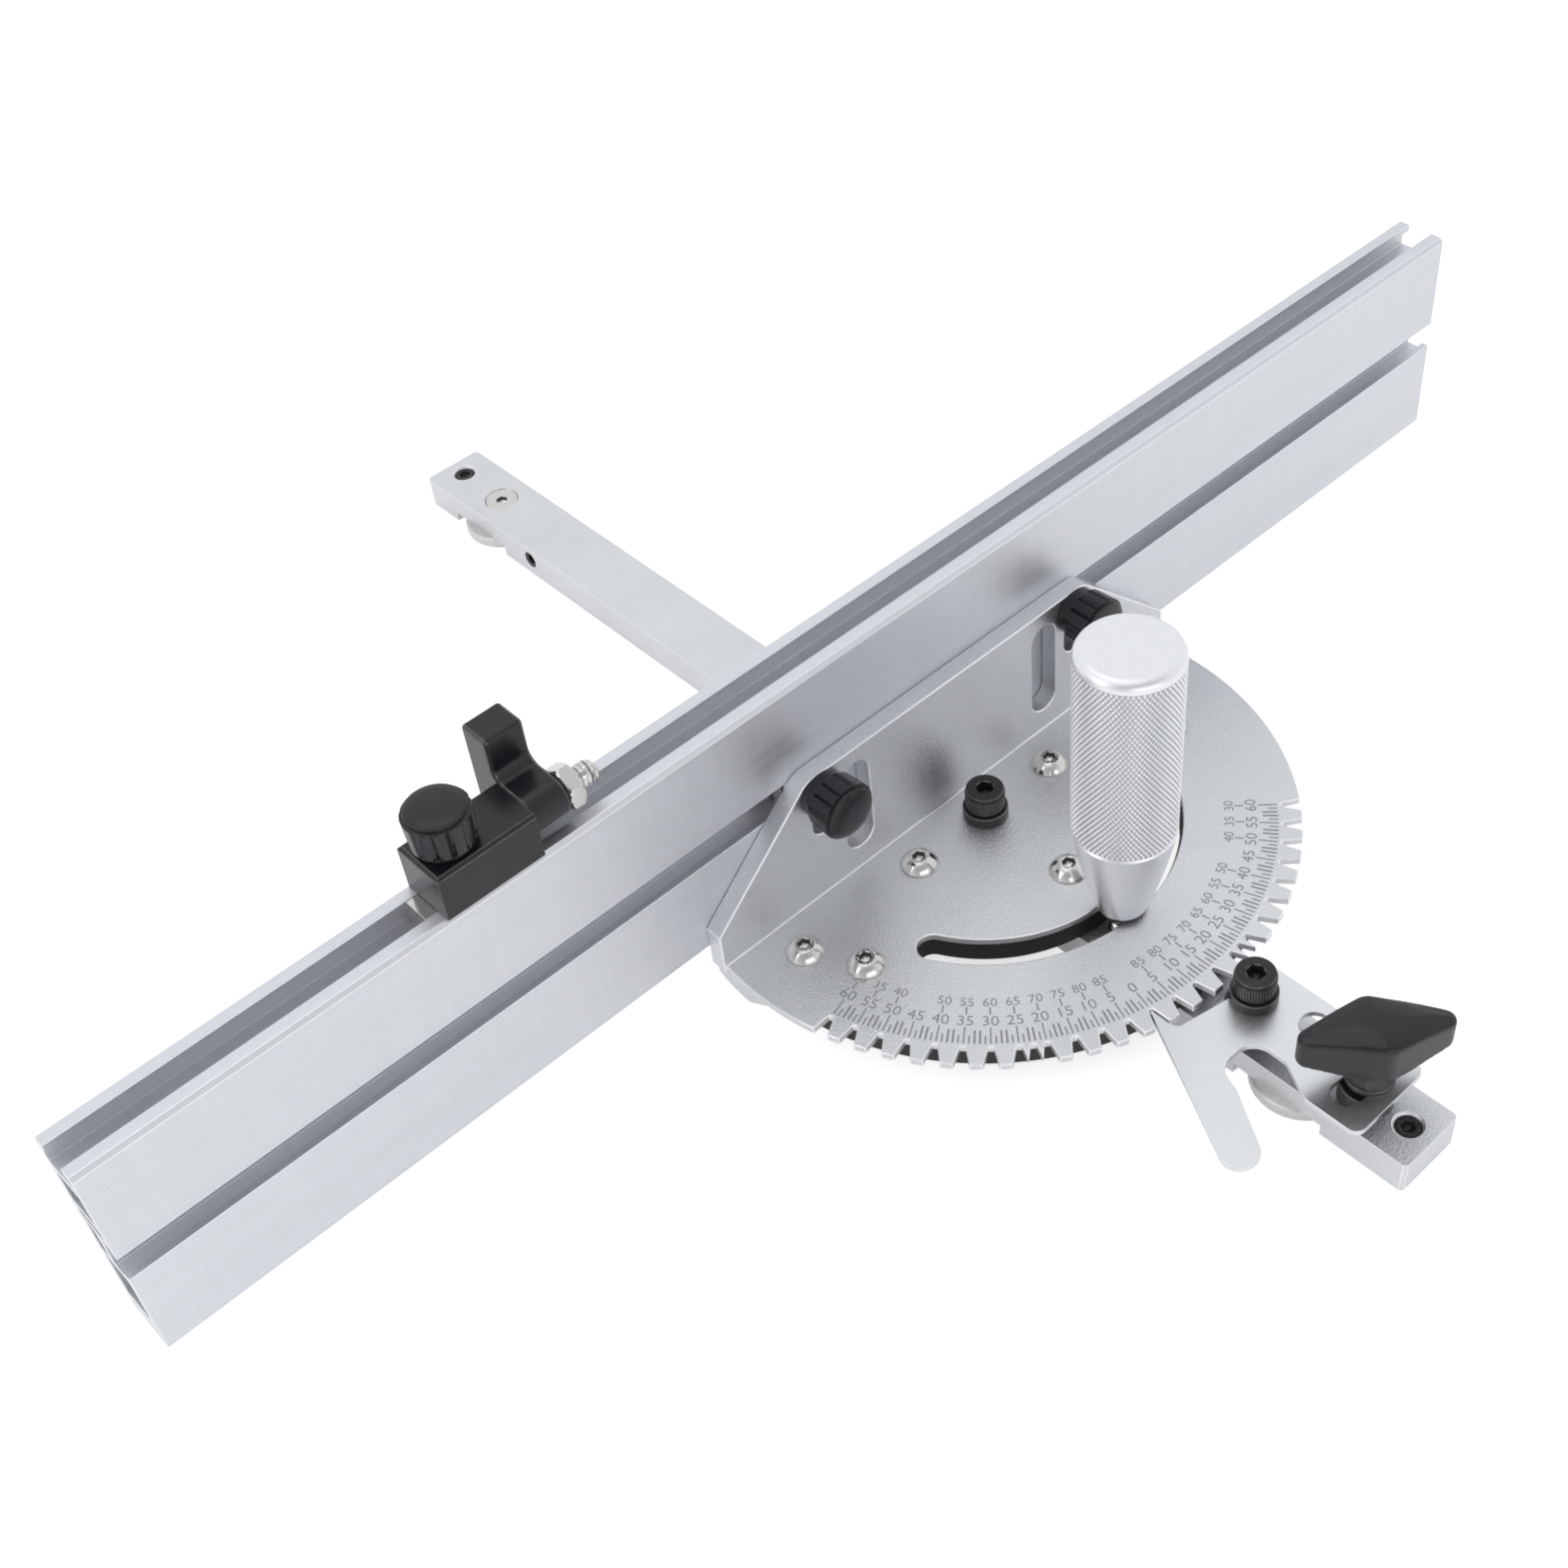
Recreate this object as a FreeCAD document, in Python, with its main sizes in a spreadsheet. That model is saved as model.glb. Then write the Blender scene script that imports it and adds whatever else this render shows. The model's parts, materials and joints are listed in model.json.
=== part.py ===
import FreeCAD, Part
import math
import os
import Sketcher
from FreeCAD import Placement, Rotation, Vector

# Miter gauge for a table saw, in millimetres. The origin is on the head's pivot axis at the
# bar's underside. X runs along the fence, Y along the bar away from the user, Z up.

doc = FreeCAD.newDocument("miter_gauge")
sheet = doc.addObject("Spreadsheet::Sheet", "Sizes")


class Size:
    """A number with the sheet expression that works it out."""

    def __init__(self, number, words):
        self.number = number
        self.words = words

    def __add__(self, other):
        other = as_size(other)
        return Size(self.number + other.number, f"({self.words} + {other.words})")

    def __sub__(self, other):
        other = as_size(other)
        return Size(self.number - other.number, f"({self.words} - {other.words})")

    def __mul__(self, other):
        other = as_size(other)
        return Size(self.number * other.number, f"({self.words} * {other.words})")

    def __truediv__(self, other):
        other = as_size(other)
        return Size(self.number / other.number, f"({self.words} / {other.words})")

    def __neg__(self):
        return self * -1

    def __radd__(self, other):
        return as_size(other) + self

    def __rsub__(self, other):
        return as_size(other) - self

    def __rmul__(self, other):
        return as_size(other) * self


def as_size(value):
    return value if isinstance(value, Size) else Size(value, f"({value})")


def sine(angle):
    return Size(math.sin(math.radians(angle.number)), f"sin({angle.words} * 1 deg)")


def cosine(angle):
    return Size(math.cos(math.radians(angle.number)), f"cos({angle.words} * 1 deg)")


def size(name, number, note):
    row = sheet_rows.setdefault(name, len(sheet_rows) + 1)
    sheet.set(f"A{row}", note)
    sheet.set(f"B{row}", str(number))
    sheet.setAlias(f"B{row}", name)
    return Size(number, f"Sizes.{name}")


sheet_rows = {}

# Guide bar and what sits in it
bar_width = size("bar_width", 19, "width of the bar, for a 19 mm table slot")
bar_height = size("bar_height", 9.5, "height of the bar")
bar_far = size("bar_far", 230.8, "pivot axis to the bar's far end")
bar_chamfer = size("bar_chamfer", 0.8, "chamfer on the bar's upright corners")
disc_radius = size("disc_radius", 12.2, "radius of the guide discs")
disc_height = size("disc_height", 3.2, "thickness of the guide discs")
disc_edge = size("disc_edge", 0.4, "chamfer on the discs")
bar_tail = size("bar_tail", 17.9, "wing knob to the bar's near end")
disc_offset = size("disc_offset", 15.3, "pawl's pivot to the front disc's axis")
disc_far_inset = size("disc_far_inset", 25.6, "bar's far end to the rear disc's axis")
recess_length = size("recess_length", 24.8, "length of the disc recesses along the bar")
disc_screw_radius = size("disc_screw_radius", 2.5, "radius of the disc screws")
disc_screw_head = size("disc_screw_head", 5.1, "radius of the disc screws' heads")
disc_screw_sink = size("disc_screw_sink", 0.5, "depth of the heads below the bar's top")
set_screw_inset = size("set_screw_inset", 6.4, "bar's end to the end set screw")
set_screw_length = size("set_screw_length", 7, "length of the end set screws")
side_screw_place = size("side_screw_place", 179.4, "pivot axis to the side set screw, along Y")
side_screw_level = size("side_screw_level", 5.4, "height of the side set screw")
side_screw_radius = size("side_screw_radius", 2.5, "radius of the side set screw")
side_screw_length = size("side_screw_length", 6, "length of the side set screw")
set_screw_sink = size("set_screw_sink", 0.6, "depth of a set screw below its face")
stud_radius = size("stud_radius", 3, "radius of the M6 screws and studs")
stud_hole_depth = size("stud_hole_depth", 6, "depth of the blind M6 holes in the bar")
stud_end_gap = size("stud_end_gap", 0.5, "gap under the end of a screw in its hole")
thread_clearance = size("thread_clearance", 0.05, "play between a screw and its hole")
running_gap = size("running_gap", 0.1, "play between flat faces that slide")
socket_depth = size("socket_depth", 2.4, "depth of the hexagon sockets")
small_socket = size("small_socket", 3, "width across flats of the small hexagon sockets")

# Collars and cap screws of the two pivots
collar_radius = size("collar_radius", 5.7, "radius of the black collars and washers")
collar_height = size("collar_height", 3, "height of a collar under its cap screw")
spigot_radius = size("spigot_radius", 4, "radius of the collar's spigot that the head turns on")
cap_radius = size("cap_radius", 5, "radius of the cap screws' heads")
cap_height = size("cap_height", 6, "height of the cap screws' heads")
cap_socket = size("cap_socket", 5, "width across flats of the cap screws' sockets")
cap_socket_depth = size("cap_socket_depth", 3, "depth of the cap screws' sockets")
cap_edge = size("cap_edge", 0.5, "chamfer on the cap screws' heads")

# Protractor bracket and the pad under it
rim_radius = size("rim_radius", 78, "radius of the toothed rim")
plate_height = size("plate_height", 2, "thickness of the half-round plate")
plate_top = size("plate_top", 17, "height of the plate's top")
foot_depth = size("foot_depth", 4.5, "depth of the flange's foot below the plate's underside")
foot_slope = size("foot_slope", 7.1, "length of the slope at each end of the foot")
foot_start = size("foot_start", 4.6, "pivot axis to the start of the foot's slopes")
foot_wall = size("foot_wall", 1.4, "wall of the pad between the pivot hole and the bracket's foot")
horn_width = size("horn_width", 3.3, "width of the foot's horns at the rim")
flange_back = size("flange_back", 15, "pivot axis to the flange's back face")
flange_thickness = size("flange_thickness", 4.9, "thickness of the flange")
flange_top = size("flange_top", 56.2, "height of the flange's top edge")
flange_top_half = size("flange_top_half", 47.3, "half the width of the flange's top edge")
flange_shoulder = size("flange_shoulder", 27.4, "height where the flange's sides start to slope")
flange_corner = size("flange_corner", 6, "radius of the flange's top corners")
window_place = size("window_place", 32.4, "pivot axis to the free slots of the flange")
window_width = size("window_width", 8.6, "width of the free slots")
window_low = size("window_low", 23.6, "lower end of the free slots")
window_high = size("window_high", 51.6, "upper end of the free slots")
bolt_place = size("bolt_place", 43.3, "pivot axis to the fence bolts")
bolt_slot_width = size("bolt_slot_width", 6.8, "width of the flange's bolt slots")
bolt_slot_low = size("bolt_slot_low", 36.8, "lower end of the bolt slots")
notch_mouth = size("notch_mouth", 1.9, "half the width of a notch at the rim")
notch_root = size("notch_root", 0.55, "half the width of a notch at its root")
notch_depth = size("notch_depth", 5, "depth of the notches")
notch_step = size("notch_step", 5, "degrees from notch to notch")
scale_half = size("scale_half", 60, "degrees from zero to the last notch")
half_step = size("half_step", 22.5, "degrees from zero to the two extra notches")
index_angle = size("index_angle", 15, "degrees from the bar's axis to the zero notch")
slot_middle = size("slot_middle", 45.1, "radius of the curved slot's middle line")
slot_width = size("slot_width", 7.6, "width of the curved slot")
slot_margin = size("slot_margin", 2, "degrees of slot past the last notch")
pad_inset = size("pad_inset", 3.5, "rim to the edge of the pad under the plate")
base_screw_radius = size("base_screw_radius", 2.5, "radius of the bracket's screws")
base_screw_head = size("base_screw_head", 4.75, "radius of the bracket's screw heads")
base_screw_dome = size("base_screw_dome", 2.7, "height of the bracket's screw heads")
base_socket_depth = size("base_socket_depth", 1.6, "depth of the bracket screws' sockets")
base_screw_end = size("base_screw_end", 1.2, "height of the screws' ends over the pad's underside")
inner_screw_place = size("inner_screw_place", 23.3, "pivot axis to the inner side screws")
front_screw_place = size("front_screw_place", 28, "pivot axis to the inner front screw")
outer_screw_inset = size("outer_screw_inset", 16.5, "rim to the outer side screws")
slant_screw_inset = size("slant_screw_inset", 22, "rim to the outer slanted screws")
slant_screw_angle = size("slant_screw_angle", 14, "degrees of the slanted screws off the X axis")

# Index pawl, its spacers and the wing knob
pawl_offset = size("pawl_offset", 7, "rim to the pawl's own pivot")
pawl_reach = size("pawl_reach", 32.3, "pawl's pivot to the wing knob")
pawl_height = size("pawl_height", 1.5, "thickness of the pawl")
pawl_drop = size("pawl_drop", 0.4, "pawl's top below the plate's top")
pawl_travel = size("pawl_travel", 13, "degrees that the pawl swings to come free")
pawl_right = size("pawl_right", 10.3, "bar's axis to the pawl's right edge")
pawl_left = size("pawl_left", 14.4, "bar's axis to the pawl's left edge at the wing knob")
pawl_end = size("pawl_end", 7.9, "wing knob to the pawl's near edge")
pawl_rim_gap = size("pawl_rim_gap", 3.3, "gap from the rim to the pawl's far edge")
pawl_corner = size("pawl_corner", 3, "radius of the pawl's outer corners")
shoulder_rise = size("shoulder_rise", 0.6, "rise of the pawl's far edge towards its right corner")
shoulder_start = size("shoulder_start", 3, "bar's axis to the start of that rise")
tip_gap = size("tip_gap", 0.4, "gap from the pawl's tip to the notch's root")
tip_half = size("tip_half", 0.25, "half the width of the pawl's tip")
tip_flank = size("tip_flank", 0.55, "gap from the pawl's flanks to the notch at the rim")
tip_bay = size("tip_bay", 2.6, "notch's middle line to the bay beside the tip")
tip_bay_radius = size("tip_bay_radius", 2.2, "radius of the bay beside the tip")
waist_place = size("waist_place", 27.4, "bar's axis to the outer edge beside the pawl's pivot")
waist_drop = size("waist_drop", 1, "pawl's pivot to the bend of the outer edge")
finger_outer = size("finger_outer", 41.4, "bar's axis to the finger's outer corner")
finger_inner = size("finger_inner", 32.6, "bar's axis to the finger's inner corner")
finger_reach = size("finger_reach", 26.9, "pawl's pivot to the finger's outer corner, along the bar")
finger_slant = size("finger_slant", 2.7, "outer to inner corner of the finger, along the bar")
finger_radius = size("finger_radius", 4.3, "radius of the finger's end")
finger_root = size("finger_root", 22.8, "bar's axis to the root of the finger")
finger_root_drop = size("finger_root_drop", 14, "pawl's pivot to the root of the finger")
throat_top = size("throat_top", 7.1, "pawl's pivot to the top of the throat by the finger")
throat_left = size("throat_left", 20.2, "bar's axis to the throat's left side")
throat_right = size("throat_right", 9.2, "bar's axis to the throat's right side")
throat_side = size("throat_side", 9.4, "length of the throat's right side")
throat_rise = size("throat_rise", 6.3, "wing knob to the end of the throat's slope")
throat_corner = size("throat_corner", 5, "radius of the throat's corners")
access_radius = size("access_radius", 4, "radius of the hole over the front disc's screw")
access_place = size("access_place", 3.1, "bar's axis to the hole over the front disc's screw")
wing_slot_play = size("wing_slot_play", 0.45, "play of the wing's stud in the pawl's slot")
wing_spacer_play = size("wing_spacer_play", 0.3, "play of the wing's stud in its spacer")
spacer_radius = size("spacer_radius", 6.5, "radius of the spacers under the pawl")
washer_height = size("washer_height", 1.4, "thickness of the black washers")
wing_turn = size("wing_turn", -36, "degrees of the wing off the X axis")
wing_hub_flare = size("wing_hub_flare", 1.5, "growth of the hub's radius up to the wing")
wing_under = size("wing_under", 6.4, "height of the wing's underside at the hub")
wing_grip = size("wing_grip", 9, "length of the stud inside the wing knob")
wing_crown = size("wing_crown", 17.6, "height of the wing's top at its middle")
wing_fall = size("wing_fall", 2.7, "fall of the wing's top from its middle to its tips")
wing_tip_low = size("wing_tip_low", 9, "height of the wing's underside at its tips")
wing_half_length = size("wing_half_length", 22, "half the wing's length, before its tips are rounded")
wing_half_width = size("wing_half_width", 8.4, "half the wing's width at its middle")
wing_skew = size("wing_skew", 0.9, "offset of the wing's widest points along its length")
wing_tip_radius = size("wing_tip_radius", 2.5, "radius of the wing's tips")
wing_side_radius = size("wing_side_radius", 4, "radius of the wing's wide corners")
wing_edge = size("wing_edge", 0.8, "radius of the wing's upper edge")

# Handle
handle_top = size("handle_top", 100, "height of the handle's top")
handle_radius = size("handle_radius", 12.4, "radius of the handle's grip")
handle_foot = size("handle_foot", 5.5, "radius of the handle's lower end")
handle_waist = size("handle_waist", 9.6, "radius of the handle at the middle of its taper")
handle_taper = size("handle_taper", 46, "height where the taper meets the grip")
handle_rim = size("handle_rim", 2.3, "height and depth of the handle's rounded rim")
handle_bore = size("handle_bore", 22, "depth of the hole in the handle")
handle_stud_grip = size("handle_stud_grip", 18, "length of the stud inside the handle")

# Fence extrusion, measured from its front face and its underside
fence_left = size("fence_left", 224.8, "pivot axis to the fence's left end")
fence_right = size("fence_right", 198.1, "pivot axis to the fence's right end")
fence_low = size("fence_low", 19.9, "height of the fence's underside")
fence_height = size("fence_height", 61.4, "height of the fence")
fence_thickness = size("fence_thickness", 14.3, "thickness of the fence")
fence_wall = size("fence_wall", 2.2, "thickness of the fence's outer walls")
fence_web = size("fence_web", 1.8, "thickness of the fence's webs")
fence_sole = size("fence_sole", 8.4, "thickness of the fence's solid underside")
fence_chamfer = size("fence_chamfer", 1, "chamfer along the fence's front edges")
throat_width = size("throat_width", 7.2, "width of the T-slots' throats")
channel_width = size("channel_width", 10.6, "width of the T-slots' channels")
channel_depth = size("channel_depth", 4.4, "depth of the T-slots' channels")
lip_thickness = size("lip_thickness", 2, "thickness of the T-slots' lips")
face_slot_level = size("face_slot_level", 30.6, "fence's underside to the face slot's middle")
top_slot_place = size("top_slot_place", 7.6, "fence's front face to the top slot's middle")
middle_web = size("middle_web", 42.1, "fence's underside to the web over the face slot")

# Round knobs, their T-bolts, and the flip stop
knob_radius = size("knob_radius", 7.4, "radius of the round knobs at their fluted part's outer end")
knob_root = size("knob_root", 6.8, "radius of the fluted part at the neck")
knob_neck = size("knob_neck", 3.4, "length of the knobs' smooth necks")
knob_neck_radius = size("knob_neck_radius", 5.9, "radius of the knobs' necks")
knob_fluted = size("knob_fluted", 6.2, "length of the fluted part")
knob_rim = size("knob_rim", 0.9, "length of the smooth rim past the flutes")
knob_rim_radius = size("knob_rim_radius", 6.6, "radius of the smooth rim")
knob_dome = size("knob_dome", 0.6, "rise of the knobs' domed ends")
knob_dome_flat = size("knob_dome_flat", 3.4, "radius of the flat on the dome")
flute_count = 12
flute_mouth = size("flute_mouth", 0.55, "half the width of a flute at its mouth")
flute_root = size("flute_root", 0.3, "half the width of a flute at its root")
flute_depth = size("flute_depth", 0.5, "depth of the knobs' flutes")
bolt_head_height = size("bolt_head_height", 3.8, "thickness of the T-bolts' heads")
bolt_head_length = size("bolt_head_length", 12, "length of the T-bolts' heads along the slot")
bolt_grip = size("bolt_grip", 8, "length of a screw inside its knob")
stop_left = size("stop_left", 138.5, "pivot axis to the stop block's left end")
stop_length = size("stop_length", 25, "length of the stop block")
stop_height = size("stop_height", 12, "height of the stop block")
stop_corner = size("stop_corner", 0.8, "chamfer on the stop block")
stop_knob_inset = size("stop_knob_inset", 7.6, "stop block's left end to its knob")
key_overhang = size("key_overhang", 3, "length of the T-nut past the block's left end")
flip_level = size("flip_level", 6.7, "fence's top to the flip arm's axis")
flip_place = size("flip_place", 6.9, "fence's front face to the flip arm's axis")
flip_boss = size("flip_boss", 4.8, "radius of the flip arm's boss")
flip_width = size("flip_width", 9.9, "width of the flip arm along X")
flip_gap = size("flip_gap", 0.3, "gap from the flip arm to the fence's far face")
blade_thickness = size("blade_thickness", 8.5, "thickness of the arm's blade")
blade_rise = size("blade_rise", 16, "arm's axis to the top of the blade")
blade_low = size("blade_low", 7, "fence's underside to the blade's end")
blade_edge = size("blade_edge", 1, "radius of the arm's edges")
tab_fillet = size("tab_fillet", 3, "radius where the arm's tab rises from its link")
nut_flats = size("nut_flats", 10, "width across flats of the flip nut")
nut_height = size("nut_height", 5, "height of the flip nut")
nut_overhang = size("nut_overhang", 4.3, "length of the bolt past the flip nut")
flip_bolt_gap = size("flip_bolt_gap", 2, "wall between the flip bolt's end and the stop's stud")

doc.recompute()


def bind(thing, prop, value):
    """Ties a property to the sheet."""
    thing.setExpression(prop, as_size(value).words)


def new_body(label):
    body = doc.addObject("PartDesign::Body", label)
    body.Label = label
    return body


def place(thing, x=0, y=0, z=0, axis=None, angle=0):
    """Puts a piece at its place, turned about the axis."""
    if axis:
        thing.Placement = Placement(Vector(), Rotation(Vector(*axis), as_size(angle).number))
        if isinstance(angle, Size):
            bind(thing, "Placement.Rotation.Angle", angle)
    for letter, value in zip("xyz", (x, y, z)):
        bind(thing, f"Placement.Base.{letter}", value)


def new_sketch(body, plane, x=0, y=0, z=0, turn=None):
    """Sketch on one of the body's own planes, with its origin moved to x, y, z."""
    sketch = body.newObject("Sketcher::SketchObject", "profile")
    support = [item for item in body.Origin.OriginFeatures if item.Role == plane + "_Plane"][0]
    sketch.AttachmentSupport = (support, [""])
    sketch.MapMode = "FlatFace"
    if turn is not None:
        spin = Rotation(Vector(0, 0, 1), turn.number)
        sketch.AttachmentOffset = Placement(Vector(), spin)
        bind(sketch, "AttachmentOffset.Rotation.Angle", turn)
    offsets = {"XY": (x, y, z), "XZ": (x, z, as_size(y) * -1), "YZ": (y, z, x)}[plane]
    for letter, value in zip("xyz", offsets):
        bind(sketch, f"AttachmentOffset.Base.{letter}", value)
    return sketch


def hold(sketch, kind, item, corner, value):
    """Holds one point of the sketch at a distance from the sketch's origin, along one axis."""
    value = as_size(value)
    index = sketch.addConstraint(Sketcher.Constraint(kind, -1, 1, item, corner, value.number))
    name = f"{kind}_{index}"
    sketch.renameConstraint(index, name)
    bind(sketch, f"Constraints.{name}", value)


def pin(sketch, item, corner, across, up):
    hold(sketch, "DistanceX", item, corner, across)
    hold(sketch, "DistanceY", item, corner, up)


def set_radius(sketch, item, radius):
    index = sketch.addConstraint(Sketcher.Constraint("Radius", item, radius.number))
    name = f"Radius_{index}"
    sketch.renameConstraint(index, name)
    bind(sketch, f"Constraints.{name}", radius)


def bowed(start, end, radius):
    """Arc from start to end that bulges to the right of the straight way."""
    way = end - start
    right = Vector(way.y, -way.x, 0).normalize()
    bulge = radius - math.sqrt(radius ** 2 - way.Length ** 2 / 4)
    return Part.Arc(start, (start + end) / 2 + right * bulge, end)


def outline(sketch, points, bow=None, bow_radius=None):
    """Closed outline of straight lines through the points. The side that starts at the point
    numbered bow is an arc that bulges to the right of the way round."""
    spots = [Vector(as_size(across).number, as_size(up).number, 0) for across, up in points]
    first = sketch.GeometryCount
    count = len(points)
    for index in range(count):
        start, end = spots[index], spots[(index + 1) % count]
        if index == bow:
            sketch.addGeometry(bowed(start, end, bow_radius.number))
        else:
            sketch.addGeometry(Part.LineSegment(start, end))
    for index in range(count):
        sketch.addConstraint(Sketcher.Constraint(
            "Coincident", first + index, 2, first + (index + 1) % count, 1))
    for index, (across, up) in enumerate(points):
        if index == bow:
            set_radius(sketch, first + index, bow_radius)
            pin(sketch, first + index - 1, 2, across, up)
        else:
            pin(sketch, first + index, 1, across, up)


def rectangle(sketch, left, right, low, high):
    outline(sketch, [(left, low), (right, low), (right, high), (left, high)])


def circle(sketch, across, up, radius):
    radius = as_size(radius)
    centre = Vector(as_size(across).number, as_size(up).number, 0)
    item = sketch.addGeometry(Part.Circle(centre, Vector(0, 0, 1), radius.number))
    pin(sketch, item, 3, across, up)
    set_radius(sketch, item, radius)


def round_slot(sketch, across, low, high, width):
    """Upright slot with round ends, from its lowest to its highest point."""
    radius = as_size(width) / 2
    upper = Vector(as_size(across).number, (as_size(high) - radius).number, 0)
    lower = Vector(as_size(across).number, (as_size(low) + radius).number, 0)
    side = Vector(radius.number, 0, 0)
    up = Vector(0, 0, 1)
    top = sketch.addGeometry(Part.ArcOfCircle(Part.Circle(upper, up, radius.number), 0, math.pi))
    left = sketch.addGeometry(Part.LineSegment(upper - side, lower - side))
    bottom = sketch.addGeometry(
        Part.ArcOfCircle(Part.Circle(lower, up, radius.number), math.pi, 2 * math.pi))
    right = sketch.addGeometry(Part.LineSegment(lower + side, upper + side))
    for one, two in ((top, left), (left, bottom), (bottom, right), (right, top)):
        sketch.addConstraint(Sketcher.Constraint("Coincident", one, 2, two, 1))
    pin(sketch, left, 1, across - radius, high - radius)
    pin(sketch, left, 2, across - radius, low + radius)
    pin(sketch, right, 1, across + radius, low + radius)
    pin(sketch, right, 2, across + radius, high - radius)
    hold(sketch, "DistanceY", top, 3, high - radius)
    hold(sketch, "DistanceY", bottom, 3, low + radius)


def extrude(body, sketch, length, cut=False, back=False, both=False):
    """Pad or pocket of a sketch. A pad leaves the plane along its normal, a pocket against it."""
    kind = "Pocket" if cut else "Pad"
    feature = body.newObject("PartDesign::" + kind, kind.lower())
    feature.Profile = sketch
    feature.Reversed = back
    feature.Midplane = both
    bind(feature, "Length", length)
    body.Tip = feature
    return feature


def turned(body, profile, cut=False, x=0, y=0, z=0):
    """Solid or hole of revolution about an upright axis, from a profile of radius and height."""
    sketch = new_sketch(body, "XZ", x, y, z)
    outline(sketch, profile)
    kind = "Groove" if cut else "Revolution"
    feature = body.newObject("PartDesign::" + kind, kind.lower())
    feature.Profile = sketch
    feature.ReferenceAxis = (sketch, ["V_Axis"])
    feature.Angle = 360
    body.Tip = feature
    return feature


def hexagon(sketch, flats):
    corner = as_size(flats) / math.sqrt(3)
    steps = [math.radians(60 * step) for step in range(6)]
    outline(sketch, [(corner * math.cos(step), corner * math.sin(step)) for step in steps])


def hex_socket(body, flats, depth, level):
    sketch = new_sketch(body, "XY", 0, 0, level)
    hexagon(sketch, flats)
    return extrude(body, sketch, depth, cut=True)


def runs_along(edge, spot):
    """True for an edge along a body axis through the spot: the axis letter, then the two other
    coordinates in X, Y, Z order."""
    others = ["xyz".index(item) for item in "xyz" if item != spot[0]]
    goal = [as_size(value).number for value in spot[1:]]
    ends = [vertex.Point for vertex in edge.Vertexes]
    return len(ends) == 2 and all(
        abs(end[axis] - value) < 0.01 for end in ends for axis, value in zip(others, goal))


def soften(body, kind, amount, wanted):
    """Fillet or Chamfer on the edges that pass the test, or that run through the given spots."""
    doc.recompute()
    base = body.Tip
    if not callable(wanted):
        spots = wanted

        def wanted(edge):
            return any(runs_along(edge, spot) for spot in spots)
    names = [f"Edge{number}" for number, edge in enumerate(base.Shape.Edges, 1) if wanted(edge)]
    feature = body.newObject("PartDesign::" + kind, kind.lower())
    feature.Base = (base, names)
    bind(feature, "Radius" if kind == "Fillet" else "Size", amount)
    body.Tip = feature
    return feature


def group(label, bodies):
    """One node of separate like pieces."""
    node = doc.addObject("Part::Compound", label)
    node.Label = label
    node.Links = bodies
    return node


nodes = []

# Levels and places that several pieces share
pawl_place = rim_radius + pawl_offset
wing_place = pawl_place + pawl_reach
near_end = -(wing_place + bar_tail)
front_disc_y = -(pawl_place + disc_offset)
rear_disc_y = bar_far - disc_far_inset
plate_low = plate_top - plate_height
spacer_top = plate_top - pawl_drop - pawl_height - running_gap
pawl_low = spacer_top + running_gap
pawl_top = pawl_low + pawl_height
fence_front = flange_back + running_gap
fence_back = fence_front + fence_thickness
fence_top = fence_low + fence_height
bolt_level = fence_low + face_slot_level
top_slot_y = fence_front + top_slot_place
flip_y = fence_front + flip_place
flip_z = fence_top + flip_level
stop_right = stop_length - stop_left
stud_hole = stud_radius + thread_clearance
stud_hole_floor = bar_height - stud_hole_depth

# Guide bar: milled across below for the discs, drilled on its axis for screws and studs
bar = new_body("miter_bar")
profile = new_sketch(bar, "XY")
rectangle(profile, bar_width / -2, bar_width / 2, near_end, bar_far)
extrude(bar, profile, bar_height)
soften(bar, "Chamfer", bar_chamfer,
       [("z", side, end) for side in (bar_width / -2, bar_width / 2) for end in (near_end, bar_far)])
for disc_y in (front_disc_y, rear_disc_y):
    profile = new_sketch(bar, "XY")
    rectangle(profile, -bar_width, bar_width,
              disc_y - recess_length / 2, disc_y + recess_length / 2)
    extrude(bar, profile, disc_height, cut=True, back=True)
    bore = disc_screw_radius + thread_clearance
    head = disc_screw_head + thread_clearance
    seat = bar_height - disc_screw_sink
    turned(bar, [(0, 0), (bore, 0), (bore, seat - head + bore), (head, seat),
                 (head, bar_height), (0, bar_height)], cut=True, y=disc_y)
end_screw_spots = (near_end + set_screw_inset, bar_far - set_screw_inset)
for end_y in end_screw_spots:
    flare = stud_hole + set_screw_sink
    turned(bar, [(0, 0), (stud_hole, 0), (stud_hole, bar_height - set_screw_sink),
                 (flare, bar_height), (0, bar_height)], cut=True, y=end_y)
for stud_y in (as_size(0), -slot_middle, -pawl_place, -wing_place):
    turned(bar, [(0, stud_hole_floor), (stud_hole, stud_hole_floor), (stud_hole, bar_height),
                 (0, bar_height)], cut=True, y=stud_y)
profile = new_sketch(bar, "YZ", x=bar_width / -2)
circle(profile, side_screw_place, side_screw_level, side_screw_radius + thread_clearance)
extrude(bar, profile, side_screw_length + set_screw_sink, cut=True, back=True)
nodes.append(bar)

# Guide discs, flush with the bar's underside, and the screws that hold them
for label, disc_y in (("guide_disc_front", front_disc_y), ("guide_disc_rear", rear_disc_y)):
    disc = new_body(label)
    bore = disc_screw_radius + thread_clearance
    turned(disc, [(bore, 0), (disc_radius - disc_edge, 0), (disc_radius, disc_edge),
                  (disc_radius, disc_height - disc_edge), (disc_radius - disc_edge, disc_height),
                  (bore, disc_height)])
    place(disc, y=disc_y)
    nodes.append(disc)

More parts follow.
